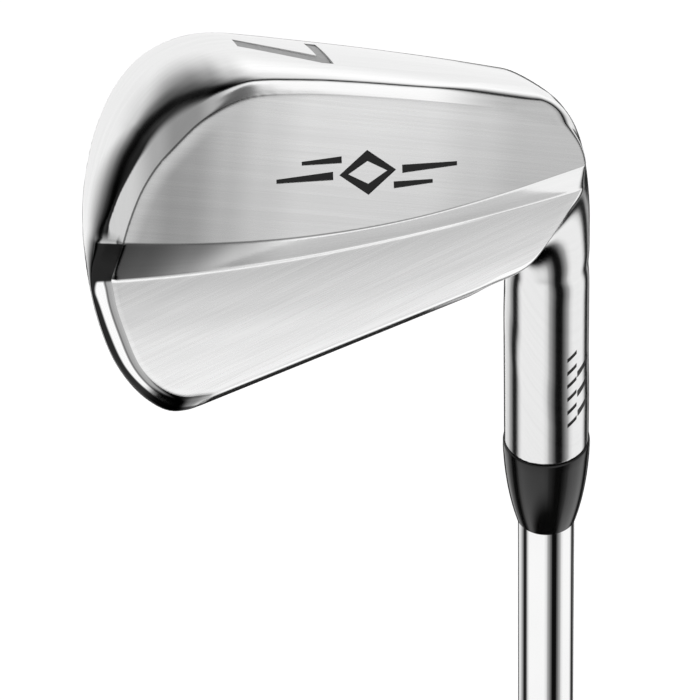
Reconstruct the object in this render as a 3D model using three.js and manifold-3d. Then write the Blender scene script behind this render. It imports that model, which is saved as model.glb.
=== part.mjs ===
// A right-handed forged muscle-back golf iron of 35 degrees loft, standing on its butt cap.
//
// Club frame: +Z runs up the shaft axis from the butt face (Z = 0), -X is the toe side of the head and
// +Y is the target side, so the back of the head looks along -Y. Units are millimetres.
//
// The head is drawn as it lies at address, in the head frame: X towards the toe, Y towards the target,
// Z up, with the origin where the shaft axis meets the ground. Two frames hang from it:
//   blade frame: u towards the toe, v up the face, w into the blade behind the face
//   hosel frame: z up the shaft axis
import * as THREE from 'three';
import { mergeVertices } from 'three/addons/utils/BufferGeometryUtils.js';
import Module from 'manifold-3d';

const wasm = await Module();
wasm.setup();

// ---------------------------------------------------------------- driving dimensions

const CLUB_LENGTH = 939.8; // butt face to the ground point on the shaft axis, 37 inches
const LIE = THREE.MathUtils.degToRad(63);
const LOFT = THREE.MathUtils.degToRad(35);
const LEAD_Y = 3.7; // leading edge ahead of the shaft axis
const LEAD_Z = 2.5; // start of the flat face above the ground

const BLADE_THICK = 4.8; // behind the face, above the muscle
const MUSCLE_THICK = 10.1; // behind the face, at the foot of the muscle
const MUSCLE_TAPER = THREE.MathUtils.degToRad(3.6); // the muscle thins towards its top
const EDGE_ROUND = 0.6; // rounding between the face and the rim
const SOLE_CAMBER = 0.7; // how far the sole bulges between its two edges
const LID = 13; // depth to which the raw blade is lofted before its back is cut

const GROOVE = { count: 13, first: 3.2, pitch: 3.56, width: 0.9, depth: 0.5, heel: 6.5, toe: 60.8 };
const GROOVE_STEP = { from: 7, heel: 10.24, step: 8.82 }; // upper grooves get shorter along the topline

const HOSEL_TOP = 73.2; // hosel end above the ground, along the shaft axis
const HOSEL_RADIUS = 6.7;
const NECK_TOP = 36; // where the round hosel starts to open into the blade
const BORE_RADIUS = 4.95;
const BORE_FLOOR = 39;

const FERRULE = { length: 17, foot: 6.95, shoulder: 6.6, top: 4.95 };

const TIP_RADIUS = 4.52;
const BUTT_RADIUS = 7.62;
const SHAFT_WALL = 0.5;
const SHAFT_STEPS = { count: 13, first: 262, pitch: 44.45 }; // distances up from the tip
const SHAFT_TIP = 40.2; // shaft end above the ground, along the axis
const SHAFT_BUTT = 5.4; // shaft end above the butt face

const GRIP_LENGTH = 267;
const GRIP = { mouth: 8.3, butt: 13.1, cap: 14.4, capDepth: 4.6 };
const TAPE = { gap: 0.12, thick: 0.25, length: 250 };
const FIT_GAP = 0.3;

const FILL_GAP = 0.06; // paint stands clear of its pocket's walls in the solid
const MARK_DEPTH = 0.5;

const ROUND = 36; // segments around the shaft axis

// ---------------------------------------------------------------- materials

function material(color, metalness, roughness) {
  return new THREE.MeshStandardMaterial({ color, metalness, roughness });
}

const satinChrome = material(0xc9cbcd, 1, 0.28);
const brightChrome = material(0xd8dadc, 1, 0.08);
const blackPlastic = material(0x0b0b0c, 0, 0.12);
const blackPaint = material(0x101011, 0, 0.35);
const blackRubber = material(0x17181a, 0, 0.8);
const clearResin = material(0xb9a77a, 0, 0.3);
const castMetal = material(0x8a7a55, 1, 0.5);
const paperTape = material(0xd9d2bd, 0, 0.8);
const silverLabel = material(0xb4b6ba, 0.3, 0.4);

// ---------------------------------------------------------------- solids

const vec = (x, y, z) => new THREE.Vector3(x, y, z);

/** The geometry with only its positions and with shared corners merged. */
function weld(geometry) {
  const bare = new THREE.BufferGeometry();
  bare.setAttribute('position', geometry.getAttribute('position'));
  bare.setIndex(geometry.getIndex());
  return mergeVertices(bare, 1e-4);
}

function solidOf(geometry) {
  const welded = weld(geometry);
  const vertProperties = new Float32Array(welded.getAttribute('position').array);
  const triVerts = new Uint32Array(welded.getIndex().array);
  return new wasm.Manifold(new wasm.Mesh({ numProp: 3, vertProperties, triVerts }));
}

function geometryOf(solid) {
  const mesh = solid.getMesh();
  const geometry = new THREE.BufferGeometry();
  geometry.setAttribute('position', new THREE.BufferAttribute(new Float32Array(mesh.vertProperties), 3));
  geometry.setIndex([...mesh.triVerts]);
  geometry.computeVertexNormals();
  return geometry;
}

/** A closed solid through rings of equal point count, anticlockwise about their direction of travel. */
function loft(rings) {
  const count = rings[0].length;
  const middle = (ring) => ring.reduce((sum, p) => sum.add(p), vec(0, 0, 0)).divideScalar(count);
  const points = [...rings.flat(), middle(rings[0]), middle(rings.at(-1))];
  const index = [];
  const lastRing = (rings.length - 1) * count;
  for (let i = 0; i < count; i++) {
    const next = (i + 1) % count;
    for (let start = 0; start < lastRing; start += count) {
      index.push(start + i, start + next, start + count + next);
      index.push(start + i, start + count + next, start + count + i);
    }
    index.push(points.length - 2, next, i);
    index.push(points.length - 1, lastRing + i, lastRing + next);
  }
  const geometry = new THREE.BufferGeometry().setFromPoints(points);
  geometry.setIndex(index);
  return geometry;
}

/** A solid turned about the Z axis from [radius, z] points that close on themselves or on the axis. */
function turned(profile, segments = ROUND) {
  const geometry = new THREE.LatheGeometry(profile.map(([r, z]) => new THREE.Vector2(r, z)), segments);
  return geometry.rotateX(Math.PI / 2);
}

/** A tube about the Z axis between two [radius, z] walls, both listed from bottom to top. */
function tube(inner, outer) {
  return turned([inner[0], ...outer, ...inner.toReversed()]);
}

/** A flat shape from corner points, extruded along +Z by the given depth. */
function plate(corners, depth, hole) {
  const shape = new THREE.Shape(corners.map(([x, y]) => new THREE.Vector2(x, y)));
  if (hole) shape.holes.push(new THREE.Path(hole.map(([x, y]) => new THREE.Vector2(x, y))));
  return new THREE.ExtrudeGeometry(shape, { depth, bevelEnabled: false });
}

function meshOf(name, geometry, finish) {
  const mesh = new THREE.Mesh(geometry, finish);
  mesh.name = name;
  return mesh;
}

// ---------------------------------------------------------------- frames

const club = new THREE.Group();

const head = new THREE.Group(); // address position, turned so that the shaft axis points down the club's Z
head.position.z = CLUB_LENGTH;
head.rotation.y = -(Math.PI / 2 + LIE);
club.add(head);

const blade = new THREE.Group();
blade.position.set(0, LEAD_Y, LEAD_Z);
blade.rotation.x = Math.PI / 2 + LOFT;
head.add(blade);

const hosel = new THREE.Group();
hosel.rotation.y = LIE - Math.PI / 2;
head.add(hosel);

club.updateMatrixWorld(true);
const bladeToHead = blade.matrix;
const hoselToHead = hosel.matrix;

// ---------------------------------------------------------------- blade outlines
//
// Three closed lines run anticlockwise around the blade as seen from behind: the outer edge at the face,
// the rim where the sole and the toe end, and the crown where the flat back begins. Each is a chain of
// five stretches with matching ends: sole, toe sweep, toe top, topline and heel.

const TOPLINE_RISE = 0.39; // slope of the topline over the scorelines
const TOPLINE_START = 28.8;
const topline = (u) => TOPLINE_START + TOPLINE_RISE * u;
const muscleDepth = (v) => MUSCLE_THICK - (v - 5) * Math.tan(MUSCLE_TAPER);

const STRETCH_POINTS = [16, 20, 12, 4, 8];

const OUTER = [
  [[-7, 6], [-4, 2.2], [1.5, -0.6], [10, -1.4], [30, -2], [50, -2.1]],
  [
    [50, -2.1], [59.2, -1.8], [65, -0.3], [70.2, 2.6], [74, 6.9], [76.7, 12.6], [78.1, 19], [78.4, 24.5],
    [78, 29],
  ],
  [
    [78, 29], [76.9, 34], [75, 39.7], [72.1, 45.2], [69, 48.7], [65.6, 51], [62.4, 52.1],
    [59.5, topline(59.5)],
  ],
  [[59.5, topline(59.5)], [8, topline(8)]],
  [[8, topline(8)], [1, 28], [-4, 21], [-7, 13], [-7, 6]],
];

const RIM = [
  [[-2.6, 8.8, 8.7], [0.2, 5.8, 9], [4.5, 4.1, 9.2], [11.5, 3.2, 9.2], [30, 3.3, 9.2], [49, 4.3, 9.2]],
  [
    [49, 4.3, 9.2], [56.9, 5.4, 9.1], [66, 9.2, 8.8], [70.3, 12.8, 8.7], [74.4, 17.4, 8.5],
    [77.3, 22.5, 7.8], [77.7, 29, 6.1],
  ],
  [
    [77.7, 29, 6.1], [76.7, 34, 3], [74.8, 39.5, 2.4], [71.9, 45, 2.4], [65.5, 50.7, 2.5],
    [59.5, topline(59.5), 4.1],
  ],
  [[59.5, topline(59.5), 4.1], [8, topline(8), 4.1]],
  [
    [8, topline(8), 4.1], [2, 27.6, 5.2], [-3.4, 23.2, 6.6], [-4.9, 18.5, 7.4], [-4.4, 13, 8.2],
    [-2.6, 8.8, 8.7],
  ],
];

const CROWN = [
  [[-2.4, 12, 10], [1.8, 7.8, 10.3], [7, 5.8, 10.3], [14, 5.3, 10.3], [30, 5.5, 10.3], [49, 6.6, 10.3]],
  [
    [49, 6.6, 10.3], [56, 7.4, 10.3], [64.6, 11.2, 10], [68.9, 14.8, 9.8], [72.4, 19.1, 9.5],
    [75, 24.3, 9.2], [76, 29, 8.9],
  ],
  [
    [76, 29, 8.9], [75.3, 34, 5.2], [73.8, 38.5, 5], [69.8, 45.7, 5], [64.2, 50, 5],
    [59.2, topline(57.8), 5],
  ],
  [[59.2, topline(57.8), 5], [8, topline(6.6), 5]],
  [
    [8, topline(6.6), 5], [4, 28.4, 5.4], [-1.2, 24.6, 7], [-3.6, 21.5, 8], [-4.2, 16.5, 9.7],
    [-2.4, 12, 10],
  ],
];

/** Evenly spaced points along one stretch, without its last point, which the next stretch starts with. */
function alongStretch(controls, count) {
  const points = controls.map(([u, v, w = EDGE_ROUND]) => vec(u, v, w));
  return new THREE.CatmullRomCurve3(points, false, 'centripetal').getSpacedPoints(count).slice(0, -1);
}

function outline(stretches) {
  return stretches.flatMap((controls, i) => alongStretch(controls, STRETCH_POINTS[i]));
}

/** Moves each ring point inwards, towards the middle of the blade, and sets its depth. */
function shrunk(ring, inset, depth) {
  const middle = vec(37, 25, 0);
  return ring.map((p) => {
    const inward = vec(middle.x - p.x, middle.y - p.y, 0).setLength(inset);
    return vec(p.x + inward.x, p.y + inward.y, depth);
  });
}

/** A ring between the outer edge and the rim, bulged away from the blade. */
function cambered(outer, rim, share) {
  const bulge = SOLE_CAMBER * 4 * share * (1 - share);
  return outer.map((p, i) => {
    const mid = p.clone().lerp(rim[i], share);
    const chord = rim[i].clone().sub(p);
    const along = outer[(i + 1) % outer.length].clone().sub(p);
    const steep = Math.min(1, chord.length() / MUSCLE_THICK);
    return mid.add(along.cross(chord).setLength(bulge * steep));
  });
}

function rawBlade() {
  const outer = outline(OUTER);
  const rim = outline(RIM);
  const crown = outline(CROWN);
  const face = shrunk(outer, EDGE_ROUND * 0.6, 0);
  const lid = shrunk(crown, 0.5, LID);
  const sole = [0.25, 0.5, 0.75].map((share) => cambered(outer, rim, share));
  return loft([face, outer, ...sole, rim, crown, lid]);
}

/** Everything behind the tapering back of the muscle. */
function behindMuscle() {
  const profile = [[-20, muscleDepth(-20)], [70, muscleDepth(70)], [70, 30], [-20, 30]];
  return plate(profile, 140).applyMatrix4(
    new THREE.Matrix4().makeBasis(vec(0, 1, 0), vec(0, 0, 1), vec(1, 0, 0)).setPosition(-30, 0, 0),
  );
}

// The step up from the thin blade to the muscle: [u, v of its foot on the blade, v of its lip].
const STEP = [
  [-9, 15.6, 11], [0, 18.3, 14.2], [14, 22.3, 19], [30, 26.4, 23.5], [45, 29.8, 26.5], [65, 33.4, 28.9],
  [80, 35.4, 29.7],
];
const STEP_POINTS = 24;

/** Everything behind the thin blade and above the step. */
function aboveStep() {
  const line = (points) => new THREE.CatmullRomCurve3(points, false, 'chordal').getPoints(STEP_POINTS);
  const foot = line(STEP.map(([u, v]) => vec(u, v, BLADE_THICK)));
  const lip = line(STEP.map(([u, , v]) => vec(u, v, muscleDepth(v))));
  const rise = LID + 2 - BLADE_THICK;
  const top = foot.map((p, i) => p.clone().lerp(lip[i], rise / (lip[i].z - BLADE_THICK)));
  const closed = (edge, w) => [
    ...edge, vec(95, edge.at(-1).y, w), vec(95, 75, w), vec(-25, 75, w), vec(-25, edge[0].y, w),
  ];
  return loft([closed(foot, BLADE_THICK), closed(top, LID + 2)]);
}

/** The scorelines as flat bars that sink into the face. */
function grooves() {
  return Array.from({ length: GROOVE.count }, (_, i) => {
    const heel = Math.max(GROOVE.heel, GROOVE_STEP.heel + GROOVE_STEP.step * (i - GROOVE_STEP.from));
    const bar = new THREE.BoxGeometry(GROOVE.toe - heel, GROOVE.width, 2 * GROOVE.depth);
    return bar.translate((GROOVE.toe + heel) / 2, GROOVE.first + GROOVE.pitch * i, 0);
  });
}

// ---------------------------------------------------------------- hosel and neck

// The blade's heel end, from the topline over the back: [turn about the neck in degrees, u, v, w].
const NECK_END = [
  [-12, 6, topline(5.6), 0.8], [12, 6, topline(5.6), 4], [22, 5, 29.6, 4.7], [60, 0, 19, 4.8],
  [82, -1, 15.2, 8], [135, 3, 7.6, 9.8], [152, 5, 4, 9], [180, 6, 0.9, 5.6], [208, 6, -1, 1.2],
  [218, 6, -0.4, 0.15], [340, 5, 30.2, 0.15], [348, 6, topline(5.6), 0.8],
];
const NECK_POINTS = 48;
const NECK_RINGS = 10;

function neckEndPoint(turn) {
  const wrapped = turn > 348 ? turn - 360 : turn;
  const next = NECK_END.findIndex(([key]) => key >= wrapped);
  const [from, ...start] = NECK_END[Math.max(next - 1, 0)];
  const [to, ...end] = NECK_END[Math.max(next, 1)];
  return vec(...start).lerp(vec(...end), (wrapped - from) / (to - from)).applyMatrix4(bladeToHead);
}

/** The neck sweeps each point of the round hosel down and towards the toe, into the blade's heel end. */
function neck() {
  const down = vec(0, 0, -1).transformDirection(hoselToHead);
  const intoBlade = (v) => {
    const rise = TOPLINE_RISE * THREE.MathUtils.smoothstep(v, 5, 30);
    return vec(1, rise, 0).transformDirection(bladeToHead);
  };
  const headToBlade = bladeToHead.clone().invert();
  const curves = Array.from({ length: NECK_POINTS }, (_, i) => {
    const turn = (360 * i) / NECK_POINTS;
    const angle = -THREE.MathUtils.degToRad(turn);
    const start = vec(HOSEL_RADIUS * Math.cos(angle), HOSEL_RADIUS * Math.sin(angle), NECK_TOP);
    start.applyMatrix4(hoselToHead);
    const end = neckEndPoint(turn);
    const reach = start.distanceTo(end) / 3;
    const arriving = intoBlade(end.clone().applyMatrix4(headToBlade).y);
    return new THREE.CubicBezierCurve3(
      start, start.clone().addScaledVector(down, reach), end.clone().addScaledVector(arriving, -reach), end,
    );
  });
  const rings = [];
  for (let r = 0; r <= NECK_RINGS; r++) rings.push(curves.map((curve) => curve.getPoint(r / NECK_RINGS)));
  const collar = curves.map((curve) => curve.v0.clone().addScaledVector(down, -0.5));
  return loft([collar, ...rings]);
}

function hoselTube() {
  const foot = NECK_TOP - 1;
  return turned([[0, foot], [HOSEL_RADIUS, foot], [HOSEL_RADIUS, HOSEL_TOP], [0, HOSEL_TOP]]);
}

function hoselBore() {
  const above = HOSEL_TOP + 1;
  return turned([[0, BORE_FLOOR], [BORE_RADIUS, BORE_FLOOR], [BORE_RADIUS, above], [0, above]]);
}

// ---------------------------------------------------------------- marks

/** Outlines of the engraved ornament on the muscle: a lozenge ring with long and short tapered bars. */
const LOZENGE = { length: 10, height: 6.4, wall: 1 };
const BARS = [
  { name: 'back_mark_bar_heel', from: 6.2, to: 16, at: 0, wide: 1.1, narrow: 0.5 },
  { name: 'back_mark_bar_toe', from: -6.2, to: -16, at: 0, wide: 1.1, narrow: 0.5 },
  { name: 'back_mark_short_bar_heel', from: 4.6, to: 11.5, at: -2.2, wide: 0.9, narrow: 0.45 },
  { name: 'back_mark_short_bar_toe', from: -4.6, to: -11.5, at: 2.2, wide: 0.9, narrow: 0.45 },
];
const backMark = new THREE.Group();
backMark.position.set(35.6, 16.6, muscleDepth(16.6));
backMark.rotation.set(-MUSCLE_TAPER, 0, Math.PI + THREE.MathUtils.degToRad(9));
blade.add(backMark);

const diamond = (length, height) => [[length / 2, 0], [0, height / 2], [-length / 2, 0], [0, -height / 2]];

function lozengeRing(grow, depth) {
  const outer = diamond(LOZENGE.length + 2 * grow, LOZENGE.height + 2 * grow);
  const less = 3 * LOZENGE.wall + 2 * grow;
  const inner = diamond(LOZENGE.length - less, LOZENGE.height - less);
  return plate(outer, depth, inner);
}

function taperedBar({ from, to, at, wide, narrow }, grow, depth) {
  const side = Math.sign(to - from);
  const start = from - side * grow;
  const end = to + side * grow;
  const startHalf = wide / 2 + grow;
  const endHalf = narrow / 2 + grow;
  const corners = [
    [start, at - startHalf], [end, at - endHalf], [end, at + endHalf], [start, at + startHalf],
  ];
  return plate(side > 0 ? corners : corners.toReversed(), depth);
}

// The club number on the sole, read from the toe end: a bar across the sole and a long slanted stem.
const SOLE_SLANT = THREE.MathUtils.degToRad(35); // of the sole, from straight behind the face
const NUMBER_DEPTH = 0.9;
const numberMark = new THREE.Group();
numberMark.position.set(48.6, -0.05, 4.5);
numberMark.setRotationFromMatrix(new THREE.Matrix4().makeBasis(
  vec(0, Math.sin(SOLE_SLANT), Math.cos(SOLE_SLANT)),
  vec(-1, 0, 0),
  vec(0, -Math.cos(SOLE_SLANT), Math.sin(SOLE_SLANT)),
));
blade.add(numberMark);

function seven(grow, depth) {
  const across = 2.8 + grow;
  const top = 7.5 + grow;
  const under = 5.6 - grow;
  const stem = 0.9 + grow;
  const shape = [
    [-across, top], [-across, under], [across - 2 * stem, under], [-1 - stem, -top], [-1 + stem, -top],
    [across, under], [across, top],
  ];
  return plate(shape, depth);
}

// Two rows of plain slanted bars along the heel side of the hosel.
const HOSEL_BARS = [
  {
    name: 'hosel_mark_long_row', turn: 261, count: 6, first: 51.2, pitch: 2.75,
    across: 1.7, lean: 0.5, thick: 0.7,
  },
  {
    name: 'hosel_mark_short_row', turn: 238, count: 3, first: 54.8, pitch: 4.1,
    across: 3, lean: 0.8, thick: 1.2,
  },
];
const FILL_FLOOR = HOSEL_RADIUS - MARK_DEPTH;

/** One slanted bar on the hosel's wall, from the given radius outwards. */
function hoselBar({ first, pitch, across, lean, thick, turn }, place, grow, from) {
  const wide = across / 2 + grow;
  const half = thick / 2 + grow;
  const corners = [[-wide, -lean - half], [wide, lean - half], [wide, lean + half], [-wide, -lean + half]];
  const angle = THREE.MathUtils.degToRad(turn);
  const out = vec(Math.cos(angle), Math.sin(angle), 0);
  const around = vec(-Math.sin(angle), Math.cos(angle), 0);
  const basis = new THREE.Matrix4().makeBasis(around, vec(0, 0, 1), out);
  basis.setPosition(out.x * from, out.y * from, first + pitch * place);
  return plate(corners, 1).applyMatrix4(basis);
}

// ---------------------------------------------------------------- the head forging

const inHead = (geometry, frame) => solidOf(geometry).transform(frame.toArray());
const frameInHead = (group) => new THREE.Matrix4().multiplyMatrices(bladeToHead, group.matrix);

backMark.updateMatrix();
numberMark.updateMatrix();
const backMarkToHead = frameInHead(backMark);
const numberToHead = frameInHead(numberMark);

function headSolid() {
  const cutBlade = solidOf(rawBlade()).subtract(solidOf(behindMuscle())).subtract(solidOf(aboveStep()));
  const placedBlade = cutBlade.transform(bladeToHead.toArray());
  const forging = placedBlade.add(solidOf(neck())).add(inHead(hoselTube(), hoselToHead));
  const cuts = grooves().map((bar) => inHead(bar, bladeToHead));
  cuts.push(inHead(hoselBore(), hoselToHead));
  cuts.push(inHead(lozengeRing(FILL_GAP, 2).translate(0, 0, -MARK_DEPTH), backMarkToHead));
  for (const bar of BARS) {
    cuts.push(inHead(taperedBar(bar, FILL_GAP, 2).translate(0, 0, -MARK_DEPTH), backMarkToHead));
  }
  cuts.push(inHead(seven(FILL_GAP, 3).translate(0, 0, -NUMBER_DEPTH), numberToHead));
  for (const row of HOSEL_BARS) {
    for (let i = 0; i < row.count; i++) {
      cuts.push(inHead(hoselBar(row, i, FILL_GAP, FILL_FLOOR), hoselToHead));
    }
  }
  return cuts.reduce((body, cut) => body.subtract(cut), forging);
}

head.add(meshOf('head', geometryOf(headSolid()), satinChrome));

// ---------------------------------------------------------------- paint in the marks

const FILL_DROP = 0.12; // the paint dries below the metal around it
const fillDepth = MARK_DEPTH - FILL_GAP - FILL_DROP;
const fillFloor = FILL_GAP - MARK_DEPTH;

backMark.add(meshOf('back_mark_lozenge', lozengeRing(0, fillDepth).translate(0, 0, fillFloor), blackPaint));
for (const bar of BARS) {
  backMark.add(meshOf(bar.name, taperedBar(bar, 0, fillDepth).translate(0, 0, fillFloor), blackPaint));
}

/** The number's paint, cut off just under the curved sole. */
function numberFill() {
  const bladeToNumber = numberMark.matrix.clone().invert();
  const sole = solidOf(rawBlade()).transform(bladeToNumber.toArray()).translate([0, 0, -FILL_DROP]);
  return solidOf(seven(0, 3).translate(0, 0, FILL_GAP - NUMBER_DEPTH)).intersect(sole);
}
numberMark.add(meshOf('sole_number_paint', geometryOf(numberFill()), blackPaint));

for (const row of HOSEL_BARS) {
  const reach = HOSEL_RADIUS - FILL_DROP;
  const wall = solidOf(turned([[0, NECK_TOP], [reach, NECK_TOP], [reach, HOSEL_TOP], [0, HOSEL_TOP]]));
  for (let i = 0; i < row.count; i++) {
    const paint = solidOf(hoselBar(row, i, 0, FILL_FLOOR + FILL_GAP)).intersect(wall);
    hosel.add(meshOf(`${row.name}_${i + 1}`, geometryOf(paint), blackPaint));
  }
}

// ---------------------------------------------------------------- shaft

const tipZ = CLUB_LENGTH - SHAFT_TIP;
const FIRST_RADIUS = 4.75; // of the tip section, just before the first step
const STEP_CONE = 1.5; // height of each step's small cone
const stepZ = (i) => tipZ - SHAFT_STEPS.first - SHAFT_STEPS.pitch * i;
const stepRadius = (i) => FIRST_RADIUS + ((BUTT_RADIUS - FIRST_RADIUS) * i) / SHAFT_STEPS.count;

/** The shaft's outer wall as [radius, z] upwards, moved out by an offset and cut to a length. */
function shaftWall(offset, from, to) {
  const corners = [[BUTT_RADIUS, -1]];
  for (let i = SHAFT_STEPS.count - 1; i >= 0; i--) {
    corners.push([stepRadius(i + 1), stepZ(i)], [stepRadius(i), stepZ(i) + STEP_CONE]);
  }
  corners.push([TIP_RADIUS, tipZ - 60], [TIP_RADIUS, tipZ + 60]);
  const radiusAt = (z) => {
    const next = corners.findIndex(([, height]) => height >= z);
    const [[r0, z0], [r1, z1]] = [corners[next - 1], corners[next]];
    return THREE.MathUtils.lerp(r0, r1, (z - z0) / (z1 - z0));
  };
  const between = corners.filter(([, z]) => z > from && z < to);
  return [[radiusAt(from), from], ...between, [radiusAt(to), to]].map(([r, z]) => [r + offset, z]);
}

/** The drawn bore of the shaft is smooth: only its outside is stepped. */
const shaftBore = [
  [BUTT_RADIUS - SHAFT_WALL, SHAFT_BUTT],
  [stepRadius(SHAFT_STEPS.count - 1) - SHAFT_WALL, stepZ(SHAFT_STEPS.count - 1)],
  [FIRST_RADIUS - SHAFT_WALL, stepZ(0)],
  [TIP_RADIUS - SHAFT_WALL, tipZ],
];
club.add(meshOf('shaft', tube(shaftBore, shaftWall(0, SHAFT_BUTT, tipZ)), brightChrome));

const PLUG = { radius: TIP_RADIUS - SHAFT_WALL - 0.1, from: 41, to: 56 };
const plugProfile = [
  [0, PLUG.from], [PLUG.radius - 0.4, PLUG.from], [PLUG.radius, PLUG.from + 0.8], [PLUG.radius, PLUG.to],
  [0, PLUG.to],
];
hosel.add(meshOf('tip_weight_plug', turned(plugProfile), castMetal));

const BOND = { inner: TIP_RADIUS + 0.1, outer: BORE_RADIUS - 0.1, from: 41, to: HOSEL_TOP - 0.6 };
const bondWall = (radius) => [[radius, BOND.from], [radius, BOND.to]];
hosel.add(meshOf('hosel_bond', tube(bondWall(BOND.inner), bondWall(BOND.outer)), clearResin));

/** The ferrule swells a little over the hosel's end and narrows in a soft curve to the shaft. */
function ferrule() {
  const foot = HOSEL_TOP + 0.1;
  const top = foot + FERRULE.length;
  const side = new THREE.QuadraticBezierCurve(
    new THREE.Vector2(FERRULE.foot, foot + 1.2),
    new THREE.Vector2(FERRULE.shoulder, foot + 0.62 * FERRULE.length),
    new THREE.Vector2(FERRULE.top, top),
  );
  const wall = side.getPoints(10).map((p) => [p.x, p.y]);
  const inner = TIP_RADIUS + 0.12;
  return tube([[inner, foot], [inner, top]], [[FERRULE.foot - 0.1, foot], ...wall]);
}
hosel.add(meshOf('ferrule', ferrule(), blackPlastic));

const BAND = { from: 286, to: 323, gap: 0.1, thick: 0.15 };
const bandWall = (offset) => shaftWall(offset, BAND.from, BAND.to);
club.add(meshOf('shaft_band', tube(bandWall(BAND.gap), bandWall(BAND.gap + BAND.thick)), silverLabel));

// ---------------------------------------------------------------- grip

const sleeveFoot = GRIP.capDepth + FIT_GAP;
const tapeEnd = sleeveFoot + TAPE.length;
const tapeOuter = TAPE.gap + TAPE.thick;
const tapeWall = (offset) => shaftWall(offset, SHAFT_BUTT + 1, tapeEnd);
club.add(meshOf('grip_tape', tube(tapeWall(TAPE.gap), tapeWall(tapeOuter)), paperTape));

function gripSleeve() {
  const taper = new THREE.QuadraticBezierCurve(
    new THREE.Vector2(GRIP.butt, sleeveFoot + 3),
    new THREE.Vector2(10.2, 0.5 * GRIP_LENGTH),
    new THREE.Vector2(GRIP.mouth, GRIP_LENGTH - 1),
  );
  const wall = taper.getPoints(12).map((p) => [p.x, p.y]);
  const outer = [[GRIP.butt + 0.5, sleeveFoot], ...wall, [GRIP.mouth - 0.6, GRIP_LENGTH]];
  return tube(shaftWall(tapeOuter + TAPE.gap, sleeveFoot, GRIP_LENGTH), outer);
}
club.add(meshOf('grip_sleeve', gripSleeve(), blackRubber));

const CAP_ROUND = 1.2;
const capProfile = [
  [0, 0], [GRIP.cap - CAP_ROUND, 0], [GRIP.cap - 0.3 * CAP_ROUND, 0.3 * CAP_ROUND], [GRIP.cap, CAP_ROUND],
  [GRIP.cap, GRIP.capDepth - 0.8], [GRIP.cap - 0.5, GRIP.capDepth], [0, GRIP.capDepth],
];
club.add(meshOf('grip_cap', turned(capProfile), blackRubber));

export default club;
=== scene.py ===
"""A forged muscle-back golf iron standing on its butt cap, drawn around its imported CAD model.

The head is one smooth skin. Its blade, neck and hosel are turned into distance fields on a grid, joined
and cut with small fillets, meshed, and then engraved. The shaft, ferrule, band and grip are turned
pieces. Sizes are millimetres; row() turns them into the frame's metres.

Frames, each carried to the row frame by a 4x4 matrix:
  head:  X to the toe, Y to the target, Z up as the club lies at address
  blade: u to the toe, v up the face, w into the blade behind the face
  hosel: z up the shaft axis from the ground
  mark:  flat on the muscle, or flat on the sole, with z out of the metal
"""
import math
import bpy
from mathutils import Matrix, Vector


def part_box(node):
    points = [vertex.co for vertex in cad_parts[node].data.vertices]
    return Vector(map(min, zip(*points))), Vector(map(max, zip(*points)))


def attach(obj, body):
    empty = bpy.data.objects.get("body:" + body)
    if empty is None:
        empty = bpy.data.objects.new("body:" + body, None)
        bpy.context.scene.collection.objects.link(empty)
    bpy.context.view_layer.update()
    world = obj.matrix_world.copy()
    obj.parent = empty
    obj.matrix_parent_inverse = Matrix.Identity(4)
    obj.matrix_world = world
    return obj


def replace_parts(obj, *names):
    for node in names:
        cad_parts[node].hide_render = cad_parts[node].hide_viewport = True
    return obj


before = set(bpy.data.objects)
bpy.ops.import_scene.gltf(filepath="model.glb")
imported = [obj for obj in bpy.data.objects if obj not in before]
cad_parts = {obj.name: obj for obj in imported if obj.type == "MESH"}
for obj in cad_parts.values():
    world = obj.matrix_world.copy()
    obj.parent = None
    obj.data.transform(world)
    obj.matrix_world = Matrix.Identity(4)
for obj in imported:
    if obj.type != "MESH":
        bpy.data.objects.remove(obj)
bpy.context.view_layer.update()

from types import SimpleNamespace

import bpy
import numpy as np
import openvdb
from mathutils import Matrix, Vector

MM = 0.001

# ---- driving dimensions, millimetres

LIE = math.radians(63)
LOFT = math.radians(35)
LEAD_Y = 3.7
LEAD_Z = 2.5

BLADE_THICK = 4.8
MUSCLE_THICK = 10.1
MUSCLE_TAPER = math.radians(3.6)
EDGE_ROUND = 0.6
SOLE_CAMBER = 0.7
LID = 14  # depth to which the raw blade is lofted before its back is cut

GROOVE = {"count": 13, "first": 3.2, "pitch": 3.56, "width": 0.9, "floor": 0.5, "depth": 0.45,
          "heel": 6.5, "toe": 60.8}
GROOVE_STEP = {"first": 7, "heel": 10.24, "step": 8.82}

HOSEL_RADIUS = 6.7
HOSEL_TOP = 73.2
NECK_TOP = 36
BORE_RADIUS = 4.95
BORE_FLOOR = 39

TOPLINE_START = 29.05
TOPLINE_RISE = 0.39
TOPLINE_RIM = 2.3  # w of the topline's highest line
TOPLINE_TOE = 57.0  # u where the straight topline ends at the toe
CHAMFER = 1.5  # drop of the topline's back edge, in v

GRID = 0.3  # spacing of the distance fields
BAND = 12  # cells on each side of a surface that a distance field reaches
BLOCK_LOW = (-43, -5, -43)
BLOCK_HIGH = (81, 66, 16)

ROOT = "root"


# ---- frames

def turned_about(axis, angle):
    """The rotation by an angle about the X, Y or Z axis."""
    i, j = {"X": (1, 2), "Y": (2, 0), "Z": (0, 1)}[axis]
    m = np.eye(4)
    m[i, i] = m[j, j] = math.cos(angle)
    m[j, i] = math.sin(angle)
    m[i, j] = -m[j, i]
    return m


def shift(x, y, z):
    m = np.eye(4)
    m[:3, 3] = (x, y, z)
    return m


def basis(x_axis, y_axis, z_axis, at=(0, 0, 0)):
    m = np.eye(4)
    m[:3, 0], m[:3, 1], m[:3, 2], m[:3, 3] = x_axis, y_axis, z_axis, at
    return m


def moved(matrix, points):
    points = np.asarray(points, float)
    return points @ matrix[:3, :3].T + matrix[:3, 3]


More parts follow.
